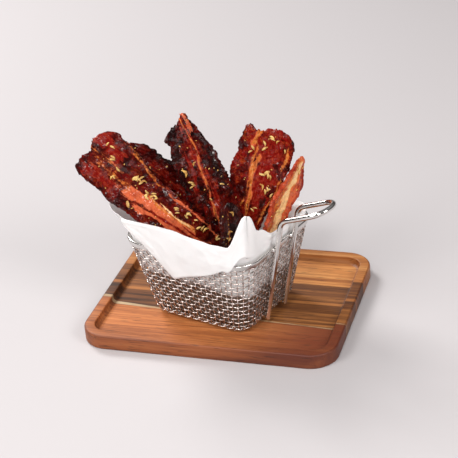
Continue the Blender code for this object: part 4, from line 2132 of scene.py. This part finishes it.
    def skin(self, along: Array, across: Array, rear: Array, paint: tuple) -> bpy.types.Object:
        """Join both faces at their edge, and give them their map and their paint.

        Args:
            along: The share along the strip at each crossing of the grid.
            across: The share across it.
            rear: The points of the back face.
            paint: The fat, its tone and the char at each crossing.

        Returns:
            The strip's piece.
        """
        rows, columns = along.shape
        count = rows * columns
        number = np.arange(count).reshape(rows, columns)
        behind = number + count
        for line in (np.s_[0, :], np.s_[-1, :], np.s_[:, 0], np.s_[:, -1]):
            behind[line] = number[line]
        faces = []
        for sheet, order in ((number, 1), (behind, -1)):
            corners = (sheet[:-1, :-1], sheet[:-1, 1:], sheet[1:, 1:], sheet[1:, :-1])
            quads = np.stack([corner.ravel() for corner in corners], axis=1)
            faces += quads[:, ::order].tolist()
        faces = self.split_corners(faces, number[:: rows - 1, :: columns - 1].ravel().tolist())
        points = np.concatenate((self.front.reshape(-1, 3), rear.reshape(-1, 3)))
        mesh = bpy.data.meshes.new(self.name)
        mesh.from_pydata(points.tolist(), [], faces)
        for title, values in zip(("fat", "tone", "char"), paint):
            hold(mesh, title, np.tile(values.ravel(), 2))
        place = np.stack((along * self.length, across * self.width / 2 * MM), axis=-1) * 10
        place = np.tile(place.reshape(-1, 2), (2, 1))
        corners = np.empty(len(mesh.loops), np.int32)
        mesh.loops.foreach_get("vertex_index", corners)
        layer = mesh.uv_layers.new(name=STRIP_MAP)
        layer.data.foreach_set("uv", place[corners].astype(np.float32).ravel())
        with edited(mesh) as shape:
            loose = [corner for corner in shape.verts if not corner.link_faces]
            bmesh.ops.delete(shape, geom=loose, context="VERTS")
        mesh.shade_smooth()
        return link(bpy.data.objects.new(f"{self.name}_glazed", mesh))

    def split_corners(self, faces: list, corners: list[int]) -> list:
        """Split the faces at the grid's corners, so that no two faces there coincide.

        Args:
            faces: The faces of both sides, each with four corners.
            corners: The numbers of the points at the grid's four corners.

        Returns:
            The faces, with two triangles for each one that meets such a point.
        """
        split = []
        for face in faces:
            meeting = [place for place in range(4) if face[place] in corners]
            if not meeting:
                split.append(face)
                continue
            a, b, c, d = face[meeting[0] :] + face[: meeting[0]]
            split += [[a, b, c], [a, c, d]]
        return split

    def dress(self, piece: bpy.types.Object) -> None:
        """Give the strip its glaze and fat."""
        piece.data.materials.append(self.finish.material())
        settle(piece, SlotName.BACON, self.name)

    def spot(self, along: float, across: float) -> tuple[Array, Array, Array]:
        """Return the front's point, its outward direction and the way along there.

        Args:
            along: The share along the strip.
            across: The share across it, from -1 to 1.

        Returns:
            The point and both directions.
        """
        row = round(along * (len(self.front) - 1))
        shares = self.grid()[1][0]
        column = int(np.argmin(np.abs(shares - across)))
        return self.front[row, column], self.outward[row, column], self.forward[row, column]


# -------------------------------------------------------------------- toppings


@dataclass(frozen=True)
class Bit:
    """A chopped bit, or a cluster of them: strip, place, size, heading and spread in mm."""

    strip: str
    along: float
    across: float
    size: float = 1.0
    heading: float | None = None
    count: int = 1
    spread: float = 0.0


@dataclass
class Topping:
    """A kind of chopped topping, scattered over the strips as one joined piece."""

    name: str
    finish: ToppingFinish
    length: float
    girth: float
    height: float
    curl: float
    bits: tuple[Bit, ...]
    scattered: int
    seed: int
    sink: float = 0.15
    shape_steps: tuple[int, int] = (7, 8)
    pointed: float = 0.93
    swelling: float = 0.18
    rough: float = 0.14
    edge_across: float = 0.93
    tilt: float = 0.18
    scattered_along: tuple[float, float] = (0.35, 0.97)
    scattered_across: tuple[float, float] = (-0.9, 0.9)
    scattered_size: tuple[float, float] = (0.55, 0.9)
    size_range: tuple[float, float] = (0.85, 1.15)

    def shape(self) -> bpy.types.Object:
        """Return one bit: a short, bent and faceted sliver round its own origin.

        Returns:
            The linked object.
        """
        rng = np.random.default_rng(self.seed)
        rows, columns = self.shape_steps
        points = []
        for row in range(rows):
            share = row / (rows - 1) * 2 - 1
            swell = 1 + rng.uniform(-self.swelling, self.swelling)
            swell = math.sqrt(1 - (self.pointed * share) ** 2) * swell
            bend = self.curl * (share * share - 0.4)
            for column in range(columns):
                angle = 2 * math.pi * column / columns
                rough = 1 + rng.uniform(-self.rough, self.rough)
                y = self.girth / 2 * math.cos(angle) * swell * rough + bend
                z = self.height / 2 * math.sin(angle) * swell * rough
                points.append((share * self.length / 2, y, z))
        return new_piece(f"{self.name}_shape", np.array(points), capped_faces(rows, columns))

    def places(self, strips: dict[str, BaconStrip]) -> list[tuple[BaconStrip, Bit]]:
        """Return every bit of this kind, those given and those scattered.

        Args:
            strips: The finished strips, by name.

        Returns:
            Each bit with the strip it lies on.
        """
        rng = np.random.default_rng(self.seed + 1)
        names = sorted(strips)
        chosen = []
        for bit in self.bits:
            strip = strips[bit.strip]
            for _ in range(bit.count):
                off = rng.uniform(-1, 1, 2) * bit.spread * MM
                along = bit.along + off[0] / strip.length
                across = bit.across + off[1] / (strip.width / 2 * MM)
                across = min(self.edge_across, max(-self.edge_across, across))
                chosen.append((strip, Bit(bit.strip, along, across, bit.size, bit.heading)))
        for index in range(self.scattered):
            strip = strips[names[index % len(names)]]
            along = rng.uniform(*self.scattered_along)
            across = rng.uniform(*self.scattered_across)
            size = rng.uniform(*self.scattered_size)
            chosen.append((strip, Bit(strip.name, along, across, size)))
        return chosen

    def tree(self, material: bpy.types.Material, shape: bpy.types.Object) -> GeometryTree:
        """Return the tree that puts one bit at every point.

        Args:
            material: The bits' material.
            shape: The object that every bit copies.

        Returns:
            The tree.
        """
        sizes = {"Shape": ("NodeSocketObject", shape), "Size": ("NodeSocketFloat", 1.0)}
        tree = GeometryTree(self.name, sizes)
        size = Value(tree, tree.stored("grow")) * Value(tree, tree.given("Size"))
        spread = tree.node("ShaderNodeCombineXYZ", None, {0: size, 1: size, 2: size})
        source = tree.node("GeometryNodeObjectInfo", None, {"Object": tree.given("Shape")})
        points = tree.node("GeometryNodeMeshToPoints", None, {0: tree.given("Geometry")})
        inputs = {
            "Points": points.outputs[0],
            "Instance": tree.output(source, "Geometry"),
            "Rotation": tree.stored("turn", "FLOAT_VECTOR"),
            "Scale": spread.outputs[0],
        }
        scattered = tree.node("GeometryNodeInstanceOnPoints", None, inputs)
        tree.close(scattered.outputs[0], material)
        return tree

    def build(self, strips: dict[str, BaconStrip]) -> bpy.types.Object:
        """Return all bits of this kind, lying on the strips.

        Args:
            strips: The finished strips, by name.

        Returns:
            The joined piece.
        """
        rng = np.random.default_rng(self.seed + 2)
        points, turns, grows = [], [], []
        for strip, bit in self.places(strips):
            place, outward, forward = strip.spot(bit.along, bit.across)
            heading = rng.uniform(0, math.pi) if bit.heading is None else math.radians(bit.heading)
            up = unit(outward + rng.uniform(-self.tilt, self.tilt, 3))
            side = np.cross(up, forward)
            way = forward * math.cos(heading) + side * math.sin(heading)
            way = unit(way - up * way.dot(up))
            axes = Matrix((way, np.cross(up, way), up)).transposed()
            points.append(place + up * self.height * (0.5 - self.sink) * bit.size)
            turns.append(tuple(axes.to_euler()))
            grows.append(bit.size * rng.uniform(*self.size_range))
        mesh = bpy.data.meshes.new(self.name)
        mesh.from_pydata([tuple(point) for point in points], [], [])
        hold(mesh, "turn", turns)
        hold(mesh, "grow", grows)
        piece = link(bpy.data.objects.new(self.name, mesh))
        shape = self.shape()
        self.tree(self.finish.material(), shape).bake(piece)
        bpy.data.objects.remove(shape)
        return piece

    def dress(self, piece: bpy.types.Object) -> None:
        """Settle the bits on the body."""
        settle(piece, SlotName.BACON)


# ---------------------------------------------------------------------- studio


@dataclass(frozen=True)
class SoftLight:
    """A square soft light that points at a place."""

    name: str
    place: tuple[float, float, float]
    size: float
    power: float
    colour: tuple[float, float, float] = (1.0, 0.98, 0.96)
    target: tuple[float, float, float] = (0.0, 0.0, 0.05)

    def build(self) -> bpy.types.Object:
        """Return the light.

        Returns:
            The linked light.
        """
        data = bpy.data.lights.new(self.name, "AREA")
        data.shape, data.size = "SQUARE", self.size
        data.energy, data.color = self.power, self.colour
        lamp = link(bpy.data.objects.new(self.name, data))
        lamp.location = self.place
        way = Vector(self.target) - Vector(self.place)
        lamp.rotation_euler = way.to_track_quat("-Z", "Y").to_euler()
        return lamp


@dataclass
class Studio:
    """The pale ground, the camera and the soft light."""

    place: tuple[float, float, float] = (0.32564, -0.96194, 0.61690)
    right: tuple[float, float, float] = (0.958, 0.278, -0.075)
    up: tuple[float, float, float] = (-0.070, 0.475, 0.877)
    lens: float = 118.04
    sensor: float = 36.0
    shift: float = -0.00218
    clip: tuple[float, float] = (0.05, 20.0)
    ground_size: float = 6.0
    ground: GroundFinish = GroundFinish()
    sky_strength: float = 0.32
    sky_stops: tuple[tuple[float, Colour], ...] = (
        (0.0, (0.82, 0.80, 0.80, 1)),
        (0.10, (0.80, 0.78, 0.78, 1)),
        (0.20, (0.16, 0.135, 0.125, 1)),
        (0.32, (0.18, 0.15, 0.14, 1)),
        (0.62, (0.62, 0.60, 0.60, 1)),
        (1.0, (0.85, 0.85, 0.88, 1)),
    )
    lights: tuple[SoftLight, ...] = (
        SoftLight("key_light", (-1.05, 0.75, 1.15), 0.6, 22.0),
        SoftLight("fill_light", (-0.85, -1.15, 1.15), 0.8, 17.0),
        SoftLight("side_light", (1.25, -0.7, 0.95), 0.6, 12.5),
        SoftLight("high_light", (0.05, -1.15, 1.5), 0.25, 9.0),
        SoftLight("card_light", (0.55, -1.65, 0.80), 0.45, 7.0),
    )

    def camera(self) -> bpy.types.Object:
        """Return the camera.

        Returns:
            The linked camera.
        """
        data = bpy.data.cameras.new("camera")
        data.lens, data.sensor_width, data.shift_y = self.lens, self.sensor, self.shift
        data.clip_start, data.clip_end = self.clip
        right = Vector(self.right).normalized()
        up = Vector(self.up)
        up = (up - right * up.dot(right)).normalized()
        axes = Matrix((right, up, right.cross(up))).transposed()
        camera = link(bpy.data.objects.new("camera", data))
        camera.matrix_world = Matrix.Translation(self.place) @ axes.to_4x4()
        return camera

    def floor(self) -> bpy.types.Object:
        """Return the ground.

        Returns:
            The linked object.
        """
        half = self.ground_size / 2
        corners = [(-half, -half, 0), (half, -half, 0), (half, half, 0), (-half, half, 0)]
        mesh = bpy.data.meshes.new("ground")
        mesh.from_pydata(corners, [], [(0, 1, 2, 3)])
        mesh.materials.append(self.ground.material())
        return link(bpy.data.objects.new("ground", mesh))

    def sky(self) -> bpy.types.World:
        """Return the surroundings: pale low down and overhead, dim and warm between.

        Returns:
            The world.
        """
        world = bpy.data.worlds.new("studio")
        world.use_nodes = True
        world.node_tree.nodes.clear()
        tree = NodeTree(world.node_tree)
        place = tree.node("ShaderNodeTexCoord").outputs["Generated"]
        axes = tree.node("ShaderNodeSeparateXYZ", None, {"Vector": place})
        height = Value(tree, axes.outputs["Z"])
        shade = tree.node("ShaderNodeValToRGB", {"stops": self.sky_stops}, {"Fac": height})
        inputs = {"Color": shade.outputs["Color"], "Strength": self.sky_strength}
        light = tree.node("ShaderNodeBackground", None, inputs)
        tree.node("ShaderNodeOutputWorld", None, {"Surface": light.outputs[0]})
        return world

    def build(self) -> None:
        """Set up the whole studio."""
        scene = bpy.context.scene
        scene.camera = self.camera()
        scene.world = self.sky()
        scene.view_settings.view_transform = "Standard"
        self.floor()
        for light in self.lights:
            light.build()


# ------------------------------------------------------------------------ main


def bacon_strips() -> list[BaconStrip]:
    """Return the six strips, each with its own shape and finish.

    Returns:
        The strips, from the left.
    """
    return [
        BaconStrip(
            "strip_left_front", (15, -10, 26), (-79, -45, 153), 42, 22, 18, 24, 3, 1,
            1.5, 2.2, 0.1, 2.0, 0.16,
            Outline(
                ((-1, 0.98), (-0.94, 1.02), (-0.5, 1.03), (-0.25, 1.01), (-0.1, 1.02),
                 (0.3, 1.045), (0.65, 1.035), (0.88, 1.02), (1, 0.985)),
                ((0, 1), (0.72, 0.99), (0.8, 1.09), (0.87, 0.97), (0.98, 1.05)),
                ((0, 0.8), (0.38, 0.87), (0.47, 0.85), (0.56, 0.77), (0.65, 0.69),
                 (0.73, 0.70), (0.78, 0.81), (0.85, 0.94), (0.92, 1.06), (1.0, 1.07)),
            ),
            BaconFinish("bacon_left_front"),
            (
                Streak(Tone.SALMON, (0.26, 0.15), (0.76, -0.38), 0.26, 1.0, 0.8),
                Streak(Tone.SALMON, (0.40, -0.05), (0.68, -0.62), 0.12, 0.8),
                Streak(Tone.RED, (0.28, -0.02), (0.60, -0.26), 0.05, 0.75),
                Streak(Tone.RED, (0.34, 0.20), (0.55, 0.02), 0.04, 0.65),
                Streak(Tone.AMBER, (0.36, 0.33), (0.64, 0.02), 0.07, 0.8),
                Streak(Tone.CREAM, (0.40, 0.30), (0.58, 0.10), 0.035, 0.7),
                Streak(Tone.SALMON, (0.18, 0.84), (0.60, 0.88), 0.08, 0.62, 0.3),
                Streak(Tone.AMBER, (0.60, 0.90), (0.92, 0.88), 0.06, 0.5),
                Streak(Tone.AMBER, (0.74, -0.20), (0.98, -0.30), 0.22, 0.42),
                Streak(Tone.AMBER, (0.80, 0.10), (1.02, 0.05), 0.12, 0.4),
                Streak(Tone.RED, (0.84, 0.45), (1.02, 0.45), 0.30, 0.9),
                Streak(Tone.RED, (0.78, -0.65), (0.98, -0.65), 0.22, 0.7),
            ),
            (Burn((0.30, 0.5), (0.2, 0.2), 0.3), Burn((0.80, 0.35), (0.07, 0.3), 0.35),
             Burn((0.62, 0.35), (0.12, 0.2), 0.35)),
            100,
        ),
        BaconStrip(
            "strip_left_back", (4, 16, 23), (-68, -11, 135), 35, 14, 22, 24, 2, 4,
            1.2, 1.8, 0.6, 1.6, 0.1,
            Outline(
                ((-1, 0.97), (-0.6, 1.02), (0.2, 1.04), (0.6, 1.03), (0.8, 1.0), (1, 0.97)),
                ((0, 1), (1, 1)),
                ((0, 1), (0.78, 0.97), (0.83, 0.92), (0.94, 0.82), (1.0, 0.8)),
            ),
            BaconFinish(
                "bacon_left_back", (0.015, 0.0008, 0.0008, 1), (0.11, 0.002, 0.0015, 1), veins=0.12
            ),
            (
                Streak(Tone.RED, (0.50, 0.35), (0.85, 0.30), 0.28, 0.55),
                Streak(Tone.AMBER, (0.30, -0.25), (0.9, -0.15), 0.08, 0.6),
            ),
            (Burn((0.75, 0.95), (0.35, 0.22), 0.6),),
            200,
        ),
        BaconStrip(
            "strip_middle", (4, -1, 18), (-21, -12, 156), 38, 14, 26, 24, -1, 4,
            1.0, 2.6, 0.3, -2.0, 0.12,
            Outline(
                ((-1, 0.995), (-0.8, 1.02), (-0.55, 1.045), (-0.3, 1.06), (0.1, 1.08),
                 (0.8, 1.10), (1, 1.09)),
                ((0, 1), (0.85, 0.87), (0.9, 0.84), (0.945, 0.76), (0.98, 0.93), (1.0, 0.97)),
                ((0, 1), (0.65, 1.03), (0.73, 0.96), (0.81, 0.88), (0.87, 0.71), (0.93, 0.60),
                 (1.0, 0.51), (1.1, 0.45)),
            ),
            BaconFinish(
                "bacon_middle", (0.010, 0.0012, 0.0012, 1), (0.105, 0.002, 0.002, 1), veins=0.25,
                glaze=1.1,
            ),
            (
                Streak(Tone.RED, (0.45, 0.1), (1.05, 0.1), 0.30, 0.6),
                Streak(Tone.RED, (0.30, -0.02), (1.04, 0.27), 0.16, 0.6, 0.8),
                Streak(Tone.AMBER, (0.30, -0.05), (1.04, 0.25), 0.05, 0.55, 0.8),
                Streak(Tone.RED, (0.35, -0.45), (0.85, -0.35), 0.10, 0.6),
                Streak(Tone.SALMON, (0.90, 0.4), (1.04, 0.8), 0.30, 0.8),
            ),
            (Burn((0.45, -0.3), (0.2, 0.5), 0.45), Burn((0.72, 0.7), (0.2, 0.3), 0.6),
             Burn((0.9, -0.75), (0.12, 0.35), 0.5)),
            300,
            0.75,
        ),
        BaconStrip(
            "strip_right", (3, 8, 16), (33, 19, 143), 46, 25, 14, 24, 2, -2,
            1.2, 2.3, 0.8, 2.4, 0.7,
            Outline(
                ((-1, 1.02), (-0.85, 1.035), (-0.68, 1.025), (-0.5, 1.0), (-0.3, 1.01),
                 (-0.1, 1.015), (0.14, 1.04), (0.44, 1.055), (0.72, 1.045), (0.93, 1.015),
                 (1, 0.985)),
                ((0, 1), (0.64, 1.0), (0.72, 1.09), (0.8, 0.96), (0.86, 0.84), (0.93, 0.87),
                 (1.0, 0.81)),
                ((0, 1), (0.45, 0.85), (0.57, 0.95), (0.68, 1.13), (0.78, 1.18), (0.89, 1.15),
                 (1.0, 1.09)),
            ),
            BaconFinish("bacon_right", (0.040, 0.0015, 0.001, 1), (0.215, 0.0045, 0.0025, 1), veins=0.6),
            (
                Streak(Tone.RED, (0.45, 0.35), (1.02, 0.35), 0.40, 0.85),
                Streak(Tone.RED, (0.42, -0.08), (1.0, -0.38), 0.18, 0.6),
                Streak(Tone.AMBER, (0.42, -0.05), (1.0, -0.35), 0.08, 0.58),
                Streak(Tone.AMBER, (0.50, -0.35), (0.85, -0.1), 0.08, 0.6),
                Streak(Tone.AMBER, (0.40, 0.85), (0.95, 0.90), 0.07, 0.58),
                Streak(Tone.AMBER, (0.90, -0.35), (1.02, -0.35), 0.14, 0.5),
            ),
            (Burn((0.35, -0.5), (0.25, 0.35), 0.6), Burn((0.78, -0.8), (0.12, 0.2), 0.35),
             Burn((0.5, 0.7), (0.15, 0.2), 0.3)),
            400,
        ),
        BaconStrip(
            "strip_right_edge", (21.2, -24.4, 20), (56.6, 26, 118.1), 25.3, 41.8, 86.6, 10,
            -2.8, -1.0, 0.9, 2.4, 0.2, 1.2, 0.21,
            Outline(
                ((-1, 0.93), (-0.5, 1.0), (0, 1.035), (0.6, 1.02), (1, 0.96)),
                ((0, 1), (0.72, 1.05), (0.83, 0.76), (1.0, 0.72)),
                ((0, 1), (0.64, 1.15), (0.8, 1.12), (0.92, 0.98), (1.0, 0.85)),
            ),
            BaconFinish("bacon_right_edge", (0.24, 0.015, 0.006, 1), (0.52, 0.080, 0.032, 1)),
            (
                Streak(Tone.SALMON, (-0.1, 0.1), (1.1, 0.1), 0.7, 0.8),
                Streak(Tone.CREAM, (0.20, 0.30), (0.96, -0.1), 0.36, 0.95),
                Streak(Tone.AMBER, (0.30, -0.5), (1.0, -0.5), 0.20, 0.6),
            ),
            (),
            500,
            0.35,
        ),
        BaconStrip(
            "strip_front_short", (7, -26, 17), (13, -24, 99), 20, 60, 55, 16, 1.5, 0,
            0.8, 1.6, 0.4, 1.2, 0.1,
            Outline(((-1, 1.0), (-0.6, 1.05), (-0.1, 1.08), (0.4, 1.06), (0.8, 1.0), (1, 0.95))),
            BaconFinish(
                "bacon_front_short", (0.012, 0.004, 0.004, 1), (0.06, 0.006, 0.005, 1), veins=0.1
            ),
            (Streak(Tone.AMBER, (0.6, -0.3), (0.95, -0.1), 0.10, 0.45),),
            (Burn((0.7, 0.3), (0.4, 0.6), 0.5),),
            600,
            0.6,
        ),
    ]


def toppings() -> list[Topping]:
    """Return the kinds of chopped topping, with the bits that stand out.

    Returns:
        The kinds, in the order in which they are built.
    """
    left, middle, right = "strip_left_front", "strip_middle", "strip_right"
    slivers = (
        Bit(left, 0.93, 0.62, 0.8, None, 2, 3.0), Bit(left, 0.88, 0.25, 1.0, None, 2, 1.6),
        Bit(left, 0.84, 0.02, 0.9), Bit(left, 0.84, -0.28, 0.8), Bit(left, 0.74, 0.27, 0.9),
        Bit(left, 0.72, 0.32, 0.85, None, 7, 3.6), Bit(left, 0.66, 0.05, 0.8, None, 4, 2.4),
        Bit(left, 0.62, 0.22, 0.8, None, 3, 2.6), Bit(left, 0.70, -0.72, 1.0, None, 2, 2.0),
        Bit(left, 0.50, 0.45, 0.85, None, 3, 2.2), Bit(left, 0.44, 0.62, 0.9, None, 3, 2.4),
        Bit(left, 0.36, 0.62, 0.8, None, 3, 2.2), Bit(left, 0.27, 0.80, 0.8, None, 2, 1.6),
        Bit(middle, 0.68, -0.62, 0.9, None, 3, 2.4), Bit(middle, 0.40, 0.20, 0.8),
        Bit(right, 0.95, 0.30, 0.9, None, 3, 2.6), Bit(right, 0.90, 0.00, 1.0, None, 2, 2.4),
        Bit(right, 0.87, -0.38, 0.9, None, 2, 2.0), Bit(right, 0.90, 0.78, 0.8),
        Bit(right, 0.72, 0.30, 0.9, None, 5, 3.2), Bit(right, 0.62, 0.52, 0.9, None, 3, 2.2),
        Bit(right, 0.55, -0.80, 0.8), Bit(right, 0.50, 0.30, 0.8, None, 2, 2.0),
        Bit("strip_right_edge", 0.62, 0.1, 0.8, None, 3, 6.0),
    )
    curls = (
        Bit(left, 0.74, 0.20, 0.9), Bit(left, 0.70, 0.42, 0.9), Bit(left, 0.63, 0.10, 0.9),
        Bit(left, 0.34, 0.72, 0.9), Bit(middle, 0.76, -0.70, 1.5, 10), Bit(right, 0.70, 0.45, 1.0),
        Bit(right, 0.64, 0.30, 1.1), Bit(right, 0.93, 0.45, 0.8),
        Bit("strip_front_short", 0.90, 0.25, 0.9),
    )
    gold = ToppingFinish("golden_bits", (0.74, 0.44, 0.11, 1), (0.36, 0.15, 0.03, 1))
    pale = ToppingFinish("pale_bits", (0.78, 0.54, 0.18, 1), (0.44, 0.22, 0.05, 1))
    return [
        Topping("topping_slivers", pale, 4.8 * MM, 1.7 * MM, 1.4 * MM, 0.35 * MM, slivers, 10, 71),
        Topping("topping_curls", gold, 5.4 * MM, 1.8 * MM, 1.4 * MM, 1.5 * MM, curls, 4, 81),
        Topping("topping_crumbs", gold, 1.6 * MM, 1.0 * MM, 0.9 * MM, 0.1 * MM, (), 110, 91),
    ]


def main() -> None:
    """Build every sub-assembly, then the studio."""
    form = BasketForm()
    for maker in (
        AcaciaTray(),
        WovenBasket(form),
        BasketRim(form),
        BasketHandle(form),
        PaperLiner(form),
    ):
        maker.dress(maker.build())
    strips = {strip.name: strip for strip in bacon_strips()}
    for strip in strips.values():
        strip.dress(strip.build())
    for topping in toppings():
        topping.dress(topping.build(strips))
    Studio().build()


if __name__ == "__main__":
    logging.basicConfig(level=logging.INFO, format="%(message)s")
    main()
